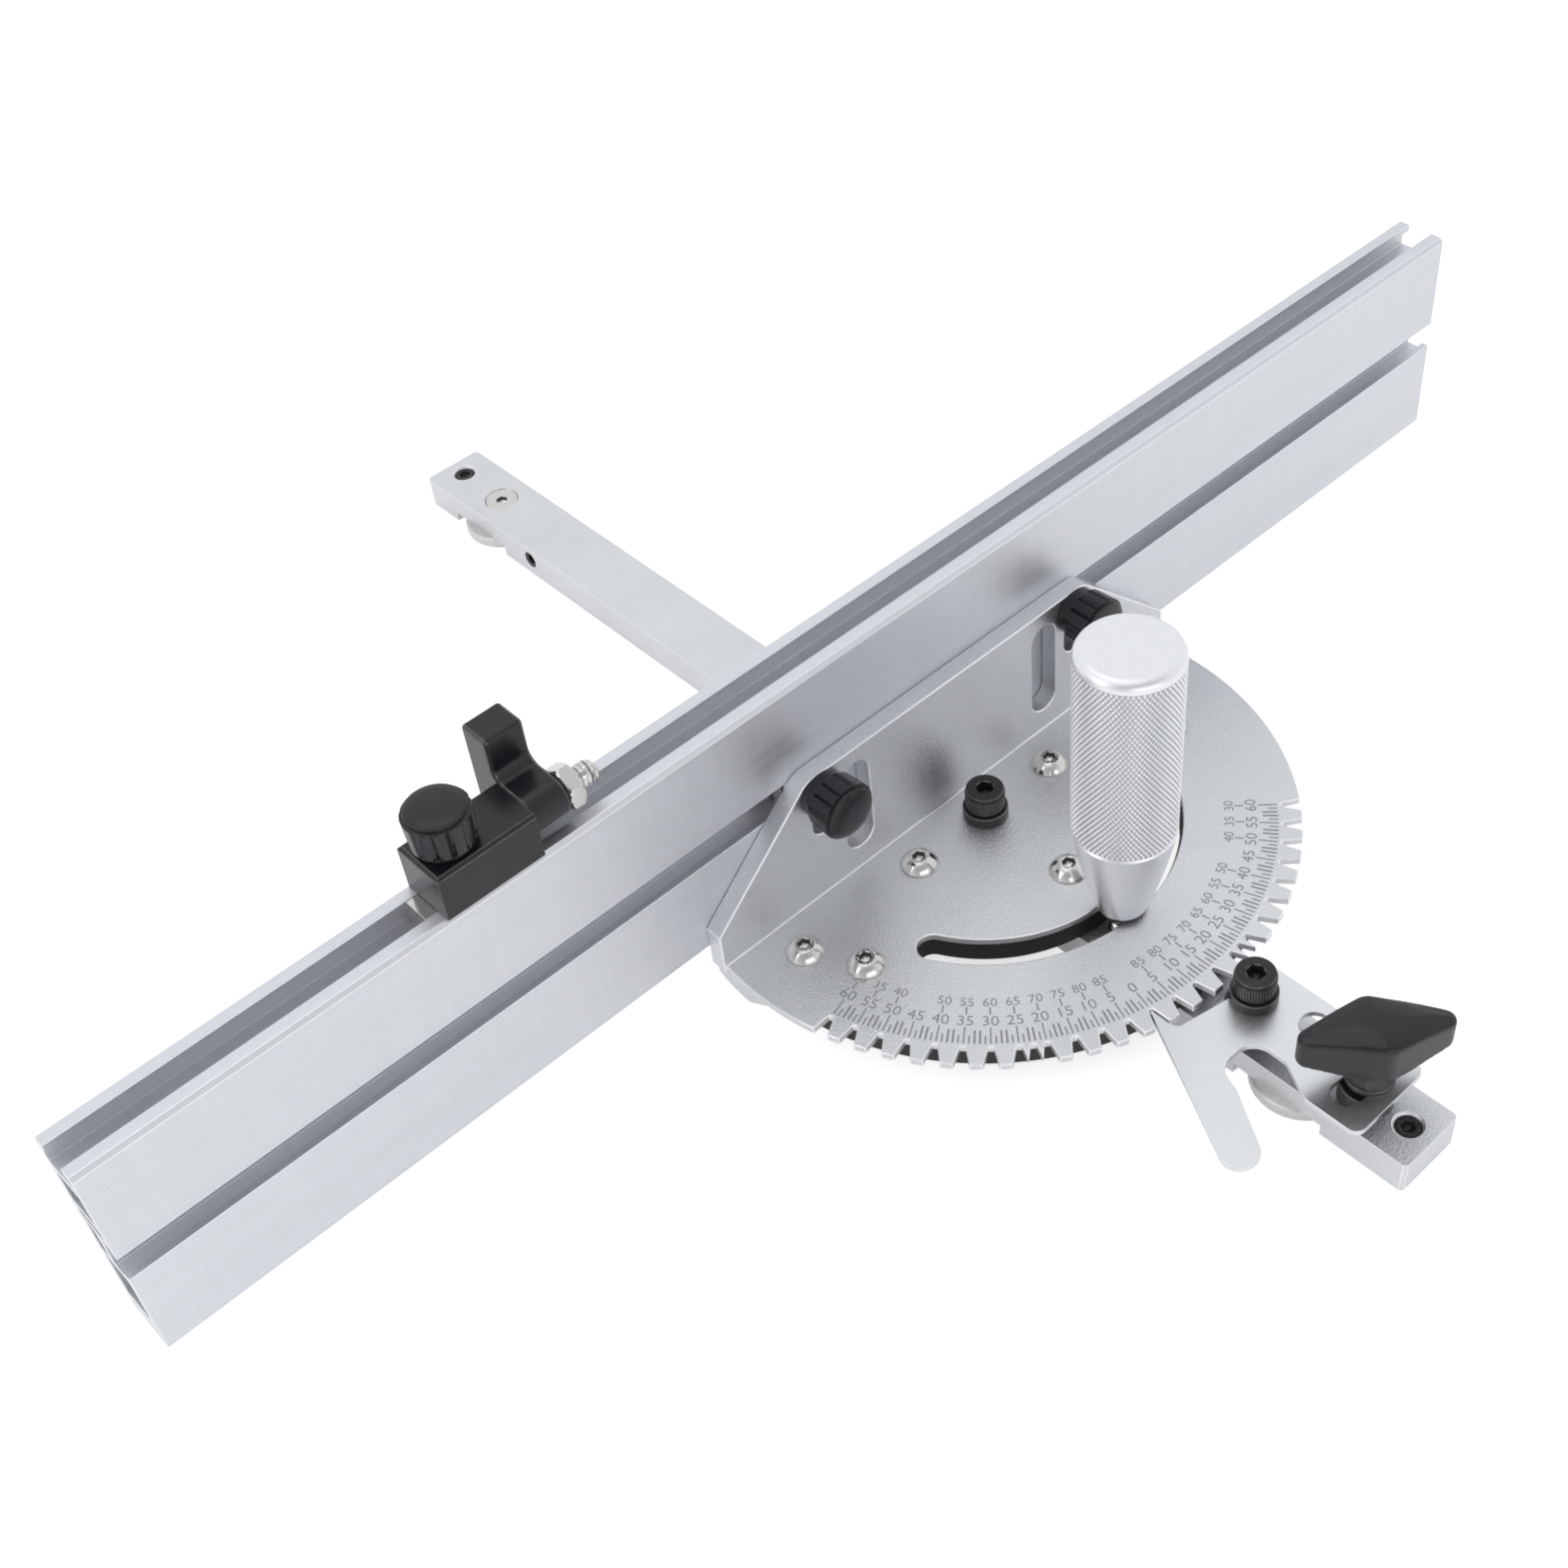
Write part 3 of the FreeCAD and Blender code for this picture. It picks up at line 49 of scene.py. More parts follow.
class Shade:
    """A socket in a node tree. Arithmetic on it adds Math nodes, and .node adds any other."""

    def __init__(self, tree, socket):
        self.tree = tree
        self.socket = socket

    def node(self, kind, settings, sockets, output=0):
        item = self.tree.nodes.new(kind)
        for key, value in settings.items():
            if key == "ramp":
                for index, (place, grey) in enumerate(value):
                    stop = (item.color_ramp.elements[index] if index < 2
                            else item.color_ramp.elements.new(place))
                    stop.position = place
                    stop.color = (grey, grey, grey, 1)
            else:
                setattr(item, key, value)
        for key, value in sockets.items():
            if isinstance(value, Shade):
                self.tree.links.new(value.socket, item.inputs[key])
            else:
                item.inputs[key].default_value = value
        return Shade(self.tree, item.outputs[output])

    def maths(self, operation, first, second=0):
        return self.node("ShaderNodeMath", {"operation": operation}, {0: first, 1: second})

    def __add__(self, other):
        return self.maths("ADD", self, other)

    def __radd__(self, other):
        return self.maths("ADD", other, self)

    def __sub__(self, other):
        return self.maths("SUBTRACT", self, other)

    def __rsub__(self, other):
        return self.maths("SUBTRACT", other, self)

    def __mul__(self, other):
        return self.maths("MULTIPLY", self, other)

    def __rmul__(self, other):
        return self.maths("MULTIPLY", other, self)

    def __truediv__(self, other):
        return self.maths("DIVIDE", self, other)

    def __mod__(self, other):
        return self.maths("FLOORED_MODULO", self, other)

    def sine(self):
        return self.maths("SINE", self)

    def cosine(self):
        return self.maths("COSINE", self)

    def ramp(self, *stops):
        """Grey from the stops' places and levels."""
        return self.node("ShaderNodeValToRGB", {"ramp": stops}, {0: self})


def finish(name, vary, **plain):
    """Material with plain values on the shader and, from vary, what changes over the surface."""
    material = bpy.data.materials.new(name)
    material.use_nodes = True
    tree = material.node_tree
    shader = tree.nodes["Principled BSDF"]
    for key, value in plain.items():
        shader.inputs[key.replace("_", " ").title()].default_value = value
    coordinates = tree.nodes.new("ShaderNodeTexCoord")
    for key, value in vary(Shade(tree, coordinates.outputs["Object"])).items():
        tree.links.new(value.socket, shader.inputs[key])
    return material


def tint(mask, dark, light):
    """Colour between dark and light; a single number is a grey. Sockets 6
    and 7 of the Mix node are its two colours."""
    dark, light = [(*([value] * 3 if isinstance(value, float) else value), 1)
                   for value in (dark, light)]
    return mask.node("ShaderNodeMix", {"data_type": "RGBA"}, {0: mask, 6: dark, 7: light}, output=2)


def new_piece(name, mesh):
    piece = bpy.data.objects.new(name, mesh)
    collection.objects.link(piece)
    return piece


world = bpy.data.worlds.new("studio")
world.use_nodes = True
sky = world.node_tree
way = Shade(sky, sky.nodes.new("ShaderNodeTexCoord").outputs["Generated"])
dark_side = (-0.42, -0.55, 0.72)
toward_dark = way.node("ShaderNodeVectorMath", {"operation": "DOT_PRODUCT"},
                       {0: way, 1: dark_side}, output=1)
studio = tint(toward_dark.ramp((0.45, 0.9), (0.96, 0.5)), 0.0, (0.965, 0.98, 1))
ambient = Shade(sky, sky.nodes["Background"].outputs[0])
sky.links.new(studio.socket, sky.nodes["Background"].inputs["Color"])
backdrop = ambient.node("ShaderNodeBackground", {}, {"Color": (1, 1, 1, 1)})
seen = ambient.node("ShaderNodeLightPath", {}, {}, output="Is Camera Ray")
either = ambient.node("ShaderNodeMixShader", {}, {0: seen, 1: ambient, 2: backdrop})
sky.links.new(either.socket, sky.nodes["World Output"].inputs[0])
bpy.context.scene.world = world
bpy.context.scene.view_settings.view_transform = "Standard"

for name, place, aim, width, height, power in [
        ("top_light", (-0.15, 0.1, 1.3), (0, 0, 0), 1.2, 0.9, 1.5),
        ("left_light", (-1.1, 0.25, 0.75), (0, 0, 0.03), 0.5, 0.9, 1.4),
        ("front_light", (-0.35, -1.1, 0.5), (0, 0, 0.03), 1.1, 0.5, 1.6)]:
    lamp = bpy.data.lights.new(name, "AREA")
    lamp.shape = "RECTANGLE"
    lamp.size = width
    lamp.size_y = height
    lamp.energy = power
    light = new_piece(name, lamp)
    light.location = place
    light.rotation_euler = (Vector(aim) - Vector(place)).to_track_quat("-Z", "Y").to_euler()

lens = bpy.data.cameras.new("photo_view")
lens.sensor_width = 36
lens.lens = 48.567
lens.shift_x = -0.04846
lens.shift_y = 0.00348
lens.clip_start = 0.01
camera = new_piece("photo_view", lens)
camera.matrix_world = Matrix((
    (0.72256922, 0.52789433, -0.44634213, -0.25558282),
    (-0.68801046, 0.48625032, -0.53870422, -0.26037008),
    (-0.0673449, 0.69633914, 0.71454633, 0.40097492),
    (0, 0, 0, 1)))
bpy.context.scene.camera = camera


def table_glow(point):
    """White to the camera and pale grey in what the metal mirrors, beside the lamps' own light."""
    camera_ray = point.node("ShaderNodeLightPath", {}, {}, output="Is Camera Ray")
    glossy_ray = point.node("ShaderNodeLightPath", {}, {}, output="Is Glossy Ray")
    return {"Emission Strength": camera_ray * 0.7 + glossy_ray * 0.22}


table_size = 6
table_gap = 0.3 * MM
table = bmesh.new()
bmesh.ops.create_grid(table, x_segments=1, y_segments=1, size=table_size)
bmesh.ops.translate(table, vec=(0, 0, -table_gap), verts=table.verts)
table_mesh = bpy.data.meshes.new("table")
table.to_mesh(table_mesh)
table.free()
table_mesh.materials.append(finish("table_white", table_glow, base_color=(0.88, 0.88, 0.88, 1),
                                   roughness=0.9, emission_color=(1, 1, 1, 1)))
new_piece("table", table_mesh)

# Guide bar: drawn aluminium flat bar that slides in the saw table's slot, with a blasted, clear
# anodised skin. It is milled across underneath for the two guide discs. Every milled piece has its
# edges broken, and the broken edges take a brighter metal: a painted edge highlight.
weld_gap = 2e-6
flat_within = math.radians(0.6)
edge_from = math.radians(28)


def noise(point, scale, detail=3):
    """Noise from 0 to 1; scale is in cells per metre, one number or one for each axis."""
    if not isinstance(scale, tuple):
        scale = (scale, scale, scale)
    spread = point.node("ShaderNodeMapping", {}, {"Vector": point, "Scale": scale})
    return spread.node("ShaderNodeTexNoise", {}, {"Vector": spread, "Scale": 1, "Detail": detail})


def bump(height, depth):
    """Normal of a relief; depth is in millimetres."""
    return height.node("ShaderNodeBump", {}, {"Height": height, "Distance": depth * MM})


def ride(piece, body, slot, *materials):
    """Puts the piece on a body, with its materials in the order of its faces' numbers."""
    for index, material in enumerate(materials):
        if index == len(piece.data.materials):
            piece.data.materials.append(material)
        piece.data.materials[index] = material
    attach(piece, body)


def show(piece, node, slot, *materials):
    """Puts the piece in the place of a CAD node, on that node's body."""
    bodies = frame["record"]["behaviour"]["bodies"]
    ride(piece, next(name for name in bodies if node in bodies[name]), slot, *materials)
    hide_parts(node)


def settled(piece):
    """Applies the piece's modifiers, with smooth shading that stays flat on its large faces."""
    weighted = piece.modifiers.new("flats", "WEIGHTED_NORMAL")
    weighted.keep_sharp = True
    weighted.weight = 100
    piece.data.polygons.foreach_set("use_smooth", [True] * len(piece.data.polygons))
    graph = bpy.context.evaluated_depsgraph_get()
    mesh = bpy.data.meshes.new_from_object(piece.evaluated_get(graph))
    piece.modifiers.clear()
    piece.data = mesh
    return piece


def eased(node, edge, segments=2, fitted=None, clamp=True):
    """Copy of a CAD piece with its sharp edges broken by so many millimetres; the new faces take
    the second material. fitted moves a corner of the copy first."""
    mesh = frame["nodes"][node].data.copy()
    mesh.materials.clear()
    mesh.materials.append(None)
    mesh.materials.append(None)
    work = bmesh.new()
    work.from_mesh(mesh)
    bmesh.ops.remove_doubles(work, verts=work.verts, dist=weld_gap)
    bmesh.ops.dissolve_limit(work, angle_limit=flat_within, verts=work.verts, edges=work.edges)
    if fitted:
        for corner in work.verts:
            fitted(corner.co)
    work.to_mesh(mesh)
    work.free()
    piece = new_piece(node + "_dressed", mesh)
    mesh.set_sharp_from_angle(angle=edge_from)
    bevel = piece.modifiers.new("edges", "BEVEL")
    bevel.width = edge * MM
    bevel.segments = segments
    bevel.limit_method = "ANGLE"
    bevel.angle_limit = edge_from
    bevel.material = 1
    bevel.use_clamp_overlap = clamp
    return settled(piece)


def blasted(point):
    grain = noise(point, 1700, detail=2)
    cloud = noise(point, 40)
    return {"Base Color": tint(cloud * 0.3 + grain * 0.7, (0.60, 0.605, 0.62), (0.91, 0.92, 0.94)),
            "Roughness": 0.32 + grain * 0.2,
            "Normal": bump(grain, 0.12)}


# Painted highlight: the broken edges get a brighter, smoother metal than the blasted skin.
def fresh_cut(point):
    return {"Roughness": 0.3 + noise(point, 3000) * 0.14}


blasted_aluminium = finish("blasted_aluminium", blasted, metallic=1)
edge_highlight_aluminium = finish("edge_highlight_aluminium", fresh_cut, metallic=1, base_color=(0.97, 0.97, 0.98, 1))
show(eased("miter_bar", 0.25), "miter_bar", "bar", blasted_aluminium, edge_highlight_aluminium)


# Guide discs: two turned steel washers under the bar, each held by a countersunk screw. They run in
# the undercut of the table's slot, and keep the fine finish of the lathe.
def lathe_steel(point):
    grain = noise(point, 2400, detail=2)
    return {"Base Color": tint(grain, (0.62, 0.61, 0.59), (0.80, 0.79, 0.77)),
            "Roughness": 0.22 + grain * 0.16}


disc_steel = finish("disc_steel", lathe_steel, metallic=1)
for node in ("guide_disc_front", "guide_disc_rear"):
    show(eased(node, 0.25), node, "discs", disc_steel, disc_steel)


# Screws of the bar: bright countersunk heads over the discs, black set screws at the ends and in
# the side, which take up the play in the slot. Their heads are turned, with a pressed hexagon.
crease = math.radians(38)


def rounded(path):
    """Profile from (radius, height, edge) points: a corner with an edge becomes an arc, which
    takes just under half of the shorter side at most."""
    arc_steps = 3
    most = 0.48
    rings = []
    for index, (radius, height, *edge) in enumerate(path):
        if not edge:
            rings.append((radius, height))
            continue
        corner = Vector((radius, height))
        sides = []
        for other in (path[index - 1], path[index + 1]):
            way = Vector((other[0], other[1])) - corner
            sides.append(corner + way.normalized() * min(edge[0], way.length * most))
        for step in range(arc_steps + 1):
            share = step / arc_steps
            rings.append((sides[0].lerp(corner, share)).lerp(corner.lerp(sides[1], share), share))
    return rings


def hexagon(half, angle):
    """Reach of a hexagon's wall at an angle, from half its width across flats."""
    return half / math.cos(angle % (math.pi / 3) - math.pi / 6)


def creased(name, mesh):
    """Piece from finished mesh work, smooth up to the crease angle."""
    data = bpy.data.meshes.new(name)
    mesh.to_mesh(data)
    mesh.free()
    data.set_sharp_from_angle(angle=crease)
    return settled(new_piece(name, data))


def lathe(name, rings, place, way="up", segments=48, shape=None):
    """Turned piece from rings of (radius, height, hex). A ring marked hex is a hexagon of that
    half width, the wall between two takes the second material, and shape changes the radius
    with the height and the angle."""
    mesh = bmesh.new()
    loops = []
    hexagons = []
    for radius, height, *hexed in rings:
        if radius == 0:
            loops.append([mesh.verts.new((0, 0, height * MM))])
            continue
        loop = []
        for step in range(segments):
            angle = math.tau * step / segments
            reach = radius
            if hexed:
                reach = hexagon(radius, angle)
            elif shape:
                reach = shape(radius, height, angle)
            loop.append(mesh.verts.new((math.cos(angle) * reach * MM,
                                        math.sin(angle) * reach * MM, height * MM)))
        loops.append(loop)
        if hexed:
            hexagons.append(loop)
    for low, high in zip(loops, loops[1:]):
        for step in range(segments):
            after = (step + 1) % segments
            corners = [low[step % len(low)], low[after % len(low)],
                       high[after % len(high)], high[step % len(high)]]
            if len(set(corners)) > 2:
                face = mesh.faces.new(list(dict.fromkeys(corners)))
                face.material_index = int(low in hexagons and high in hexagons)
    bmesh.ops.recalc_face_normals(mesh, faces=mesh.faces)
    turn = {"up": Matrix(), "near": Matrix.Rotation(math.pi / 2, 4, "X"),
            "right": Matrix.Rotation(math.pi / 2, 4, "Y")}[way]
    mesh.transform(Matrix.Translation(Vector(place)) @ turn)
    return creased(name, mesh)


def joined(name, pieces):
    """One piece of several."""
    mesh = bmesh.new()
    for piece in pieces:
        mesh.from_mesh(piece.data)
        bpy.data.objects.remove(piece)
    return creased(name, mesh)


def middle(low, high):
    return (low + high) / 2


def solids(node):
    """Lowest and highest corner of each separate solid of a CAD node, in millimetres."""
    mesh = bmesh.new()
    mesh.from_mesh(frame["nodes"][node].data)
    bmesh.ops.remove_doubles(mesh, verts=mesh.verts, dist=weld_gap)
    left = set(mesh.verts)
    boxes = []
    while left:
        reached = [left.pop()]
        spots = []
        while reached:
            spot = reached.pop()
            spots.append(spot.co / MM)
            for link in spot.link_edges:
                other = link.other_vert(spot)
                if other in left:
                    left.remove(other)
                    reached.append(other)
        boxes.append((Vector(map(min, zip(*spots))), Vector(map(max, zip(*spots)))))
    mesh.free()
    return sorted(boxes, key=lambda box: tuple(box[0]))


def top_place(low, high):
    """Middle of a solid's top, in metres."""
    return Vector((middle(low.x, high.x), middle(low.y, high.y), high.z)) * MM


def socketed(path, width, depth, rim):
    """Rings of a screw up to its flat top at height 0, and down a hexagon pressed into that."""
    half = width / 2
    return rounded(path + [(half + rim, 0)]) + [
        (half + rim * 0.3, -rim * 0.4, True), (half, -rim, True), (half, -depth, True),
        (half * 0.2, -depth - half * 0.25), (0, -depth - half * 0.25)]


def bright(point):
    return {"Roughness": 0.09 + noise(point, 900) * 0.09}


def blackened(point):
    speck = noise(point, 1500)
    return {"Base Color": tint(speck, (0.012, 0.012, 0.013), (0.05, 0.05, 0.052)),
            "Roughness": 0.24 + speck * 0.2}


# Painted shade: the walls of the pressed hexagons are a dark steel, for the shade down in the
# sockets.
def oily(point):
    return {"Base Color": tint(noise(point, 2000), 0.10, 0.26)}


bright_steel = finish("bright_steel", bright, metallic=1, base_color=(0.72, 0.70, 0.68, 1))
black_steel = finish("black_steel", blackened, metallic=0.4)
socket_shade_steel = finish("socket_shade_steel", oily, metallic=1, roughness=0.35)

bar_key = dict(width=3, depth=1.5, rim=0.25)
flat_shank = 2.1
flat_edge = 0.15
flat_sink = 0.3
flat_heads = []
for low, high in solids("disc_screws"):
    head = (high.x - low.x) / 2 - flat_sink
    end = low.z - high.z
    flat_heads.append(lathe("flat_head", socketed([
        (0, end), (flat_shank, end, 0.3), (flat_shank, flat_shank - head), (head, -flat_edge),
        (head, 0, flat_edge)], **bar_key), top_place(low, high)))
show(joined("disc_screws_dressed", flat_heads), "disc_screws", "bright_steel", bright_steel,
     socket_shade_steel)

set_radius = 3
set_point = 2.4
set_mouth = 2.75
set_chamfer = 0.6
set_screws = []
for low, high in solids("end_set_screws"):
    end = low.z - high.z
    set_screws.append(lathe("set_screw", socketed([
        (0, end), (set_point, end, 0.2), (set_radius, end + set_chamfer), (set_radius, -0.35),
        (set_mouth, 0, 0.1)], **bar_key), top_place(low, high)))
show(joined("end_set_screws_dressed", set_screws), "end_set_screws", "black_steel", black_steel,
     black_steel)
show(eased("side_set_screw", 0.15), "side_set_screw", "black_steel", black_steel, black_steel)

# Protractor bracket: thick aluminium plate with a notched half-round foot and an upright flange
# for the fence, bead-blasted and clear anodised. Its notches, edges and slots are milled after.
# Its broken edges take the brighter metal of the painted edge highlight.
show(eased("protractor_bracket", 0.3, clamp=False), "protractor_bracket", "bracket",
     blasted_aluminium, edge_highlight_aluminium)

# Scale of the bracket: marks and numbers that a laser burns into the anodised skin, dull grey and
# flush. The outer row counts from the bar's line, and the inner one from the fence's.
plate_top = 17.0
zero_angle = -15
mark_low = plate_top - 0.01
mark_high = plate_top + 0.02
mark_rim = 72.05
long_mark = dict(inner=67.4, outer=mark_rim, width=0.34)
middle_mark = dict(inner=68.3, outer=mark_rim, width=0.46)
short_mark = dict(inner=69.8, outer=mark_rim, width=0.36)
inner_mark = dict(inner=61.6, outer=63.8, width=0.36)
outer_number = dict(foot=66.9, size=4.0)
inner_number = dict(foot=61.3, size=3.4)
number_lift = 0.005
number_relief = 0.015
number_stretch = 1.04
number_weight = -0.004


def grown(name, build, material, **sizes):
    """Piece from a tree of geometry nodes. Each size is a named input of the tree: a count, or a
    number in millimetres or degrees."""
    tree = bpy.data.node_groups.new(name, "GeometryNodeTree")
    tree.interface.new_socket("Geometry", in_out="OUTPUT", socket_type="NodeSocketGeometry")
    for key, value in sizes.items():
        kind = "NodeSocketInt" if isinstance(value, int) else "NodeSocketFloat"
        tree.interface.new_socket(key, in_out="INPUT", socket_type=kind)
    entry = tree.nodes.new("NodeGroupInput")
    shape = build(**{key: Shade(tree, entry.outputs[key]) for key in sizes})
    shape = shape.node("GeometryNodeRealizeInstances", {}, {"Geometry": shape})
    shape = shape.node("GeometryNodeSetMaterial", {}, {"Geometry": shape, "Material": material})
    tree.links.new(shape.socket, tree.nodes.new("NodeGroupOutput").inputs[0])
    piece = new_piece(name, bpy.data.meshes.new(name))
    growth = piece.modifiers.new("growth", "NODES")
    growth.node_group = tree
    for item in tree.interface.items_tree:
        if item.in_out == "INPUT":
            growth[item.identifier] = sizes[item.name]
    graph = bpy.context.evaluated_depsgraph_get()
    mesh = bpy.data.meshes.new_from_object(piece.evaluated_get(graph))
    piece.modifiers.clear()
    piece.data = mesh
    return piece


def vector(x, y, z):
    """Vector of three numbers in millimetres, one of them at least a socket."""
    thing = next(value for value in (x, y, z) if isinstance(value, Shade))
    x, y, z = [value * MM for value in (x, y, z)]
    return thing.node("ShaderNodeCombineXYZ", {}, {0: x, 1: y, 2: z})


def bars(count, first, step, inner, outer, width, low, high):
    """Thin bars round the upright axis. Their angles run from the user's side."""
    index = count.node("GeometryNodeInputIndex", {}, {})
    angle = (first + index * step) * math.radians(1)
    reach = (inner + outer) * 0.5
    spots = count.node("GeometryNodePoints", {}, {"Count": count, "Position": vector(
        reach * angle.sine(), reach * angle.cosine() * -1, (low + high) * 0.5)})
    bar = count.node("GeometryNodeMeshCube", {}, {"Size": vector(width, outer - inner, high - low)})
    turn = count.node("ShaderNodeCombineXYZ", {}, {2: angle})
    return count.node("GeometryNodeInstanceOnPoints", {},
                      {"Points": spots, "Instance": bar, "Rotation": turn})


def number(value, angle, foot, size):
    """Number that stands on the rim's side, with its foot at that distance from the pivot."""
    text = bpy.data.curves.new("number", "FONT")
    text.body = str(value)
    text.align_x = "CENTER"
    text.size = size * MM
    text.offset = size * number_weight * MM
    text.extrude = number_relief * MM
    text.resolution_u = 3
    sign = new_piece("number", text)
    graph = bpy.context.evaluated_depsgraph_get()
    mesh = bpy.data.meshes.new_from_object(sign.evaluated_get(graph))
    mesh.transform(Matrix.Rotation(math.radians(angle), 4, "Z")
                   @ Matrix.Translation((0, -foot * MM, (plate_top + number_lift) * MM))
                   @ Matrix.Scale(number_stretch, 4, (1, 0, 0)))
    bpy.data.objects.remove(sign)
    return new_piece("number", mesh)


def laser_grey(point):
    return {"Base Color": tint(noise(point, 4000), 0.22, 0.38)}


scale_grey = finish("scale_grey", laser_grey, metallic=0.3, roughness=0.6)
marks = []
for name, first, count, sizes in [
        ("fives", -60, 25, long_mark), ("ones", -59, 24, short_mark),
        ("twos", -58, 24, middle_mark), ("threes", -57, 24, middle_mark),
        ("fours", -56, 24, short_mark), ("left_end", -60, 3, inner_mark),
        ("left_row", -40, 8, inner_mark), ("right_row", 5, 8, inner_mark),
        ("right_end", 50, 3, inner_mark)]:
    marks.append(grown(name, bars, scale_grey, count=count, first=float(zero_angle + first),
                       step=5.0, low=mark_low, high=mark_high, **sizes))
for degrees in range(-60, 61, 5):
    marks.append(number(abs(degrees), zero_angle + degrees, **outer_number))
    if degrees not in (-45, 0, 45):
        marks.append(number(90 - abs(degrees), zero_angle + degrees, **inner_number))
ride(joined("protractor_scale", marks), "head", "bracket", scale_grey)

# Pad under the bracket: moulded black plastic with a grained skin, which turns on the bar without
# scratching it. Its rim stands back under the notches, and its curved slot is narrow at the stud.
pad_radius = 72.2
slot_middle = 45.1
slot_wall = 49.0
slot_drawn_in = 0.84


def grained_pad(point):
    grain = noise(point, 1400)
    return {"Base Color": tint(grain, 0.008, 0.022), "Roughness": 0.45 + grain * 0.2}


def pad_edge(corner):
    """Draws the pad's rim in under the notches, and its slot's outer wall nearer to the stud."""
    reach = math.hypot(corner.x, corner.y) / MM
    wanted = min(reach, pad_radius)
    if slot_middle < reach < slot_wall:
        wanted = slot_middle + (reach - slot_middle) * slot_drawn_in
    corner.xy *= wanted / max(reach, 1)


pad_plastic = finish("black_pad", grained_pad)
show(eased("glide_base", 0.2, fitted=pad_edge), "glide_base", "pad", pad_plastic, pad_plastic)

# Button-head screws of the bracket: seven polished steel domes with a pressed hexagon, through the
# plate into the pad. Each dome is an arc between an upright rim and a small flat crown.
button_key = dict(width=3, depth=1.6, rim=0.22)
button_shank = 2
button_rim = 0.3
button_crown = 2.4
dome_steps = 7
buttons = []
for low, high in solids("base_screws"):
    head = (high.x - low.x) / 2
    dome = high.z - plate_top
    end = low.z - high.z
    fall = dome - button_rim
    centre = (head ** 2 - button_crown ** 2 + fall ** 2) / (2 * fall)
    sphere = math.hypot(button_crown, centre)
    rim_turn = math.asin(head / sphere)
    crown_turn = math.asin(button_crown / sphere)
    turns = [rim_turn + (crown_turn - rim_turn) * step / dome_steps
             for step in range(dome_steps + 1)]
    rings = [(0, end), (button_shank, end), (button_shank, -dome), (head, -dome)]
    rings += [(sphere * math.sin(turn), sphere * math.cos(turn) - centre) for turn in turns]
    buttons.append(lathe("button", socketed(rings, **button_key), top_place(low, high)))
show(joined("base_screws_dressed", buttons), "base_screws", "bright_steel", bright_steel,
     socket_shade_steel)

# Pivots of the plate and the pawl: black oxide cap screws with knurled heads on turned collars.
# The knurl's ribs and the heads' upper edge take a lighter, shinier steel: a painted highlight.
cap_key = dict(width=4, depth=3, rim=0.35)
cap_shank = 3
cap_height = 6
cap_shoulder = 1.3
cap_edge = 0.55
highlight_band = 0.5
rib_count = 48
rib_depth = 0.2
rib_width = 0.34
rib_low, rib_high = -5.2, -1.0


# Painted highlight: a lighter steel for the ribs, the heads' top edge and the collars' broken
# edges.
def worn(point):
    return {"Base Color": tint(noise(point, 1800), 0.05, 0.24),
            "Roughness": 0.3 + noise(point, 900) * 0.15}


highlight_steel = finish("highlight_steel", worn, metallic=0.8)
for node in ("pivot_screw", "pawl_screw"):
    low, high = solids(node)[0]
    end = low.z - high.z
    head = (high.x - low.x) / 2 - rib_depth
    body = lathe("cap_body", socketed([
        (0, end), (cap_shank, end), (cap_shank, -cap_height), (head, -cap_height, 0.3),
        (head, -cap_shoulder), (head, 0, cap_edge)], **cap_key), top_place(low, high), segments=60)
    # The sloped faces round the top edge take the painted highlight.
    for face in body.data.polygons:
        near_top = face.center.z > (high.z - highlight_band) * MM
        face.material_index = int(near_top and 0.3 < face.normal.z < 0.97)
    ribs = grown("cap_ribs", bars, highlight_steel, count=rib_count, first=0.0, step=360 / rib_count,
                 inner=head - rib_depth, outer=head + rib_depth, width=rib_width, low=rib_low,
                 high=rib_high)
    ribs.data.transform(Matrix.Translation(top_place(low, high)))
    for face in ribs.data.polygons:
        face.material_index = 1
    show(joined(node + "_dressed", [body, ribs]), node, "black_steel", black_steel, highlight_steel)
# The broken edges of these take the painted highlight.
for node in ("pivot_collar", "pawl_spacer", "pawl_collar", "wing_spacer", "wing_washer",
             "handle_washer"):
    show(eased(node, 0.25), node, "black_steel", black_steel, highlight_steel)


# Index pawl: thin plate of ground steel, cut by laser to its pointer and its thumb finger, with
# tumbled edges. It swings on its screw, and its tooth drops into a notch of the bracket.
def ground(point):
    lines = noise(point, (260, 2600, 260), detail=2)
    cloud = noise(point, 60)
    return {"Base Color": tint(lines * 0.5 + cloud * 0.5, (0.76, 0.77, 0.785), (0.89, 0.90, 0.915)),
            "Roughness": 0.26 + lines * 0.14}


ground_steel = finish("ground_steel", ground, metallic=1)
# Its broken edges take the bright metal of the painted edge highlight.
show(eased("index_pawl", 0.25), "index_pawl", "pawl", ground_steel, edge_highlight_aluminium)

# Wing knob: moulded black plastic with a fine grain and a crowned top, on a threaded steel stud.
# It clamps the pawl. The copy of its solid is remeshed and rubbed smooth, as a moulding is.
wing_voxel = 0.36 * MM
wing_smoothing = 16
wing_crown = 1.2
wing_top = 3.2
stud_core = 2.4
stud_radius = 2.98
stud_pitch = 1.0
stud_plain = 0.7
thread_root = 0.05


def moulded(point):
    grain = noise(point, 1500)
    return {"Base Color": tint(grain, (0.006, 0.006, 0.008), (0.014, 0.013, 0.018)),
            "Roughness": 0.17 + grain * 0.1,
            "Normal": bump(grain, 0.006)}


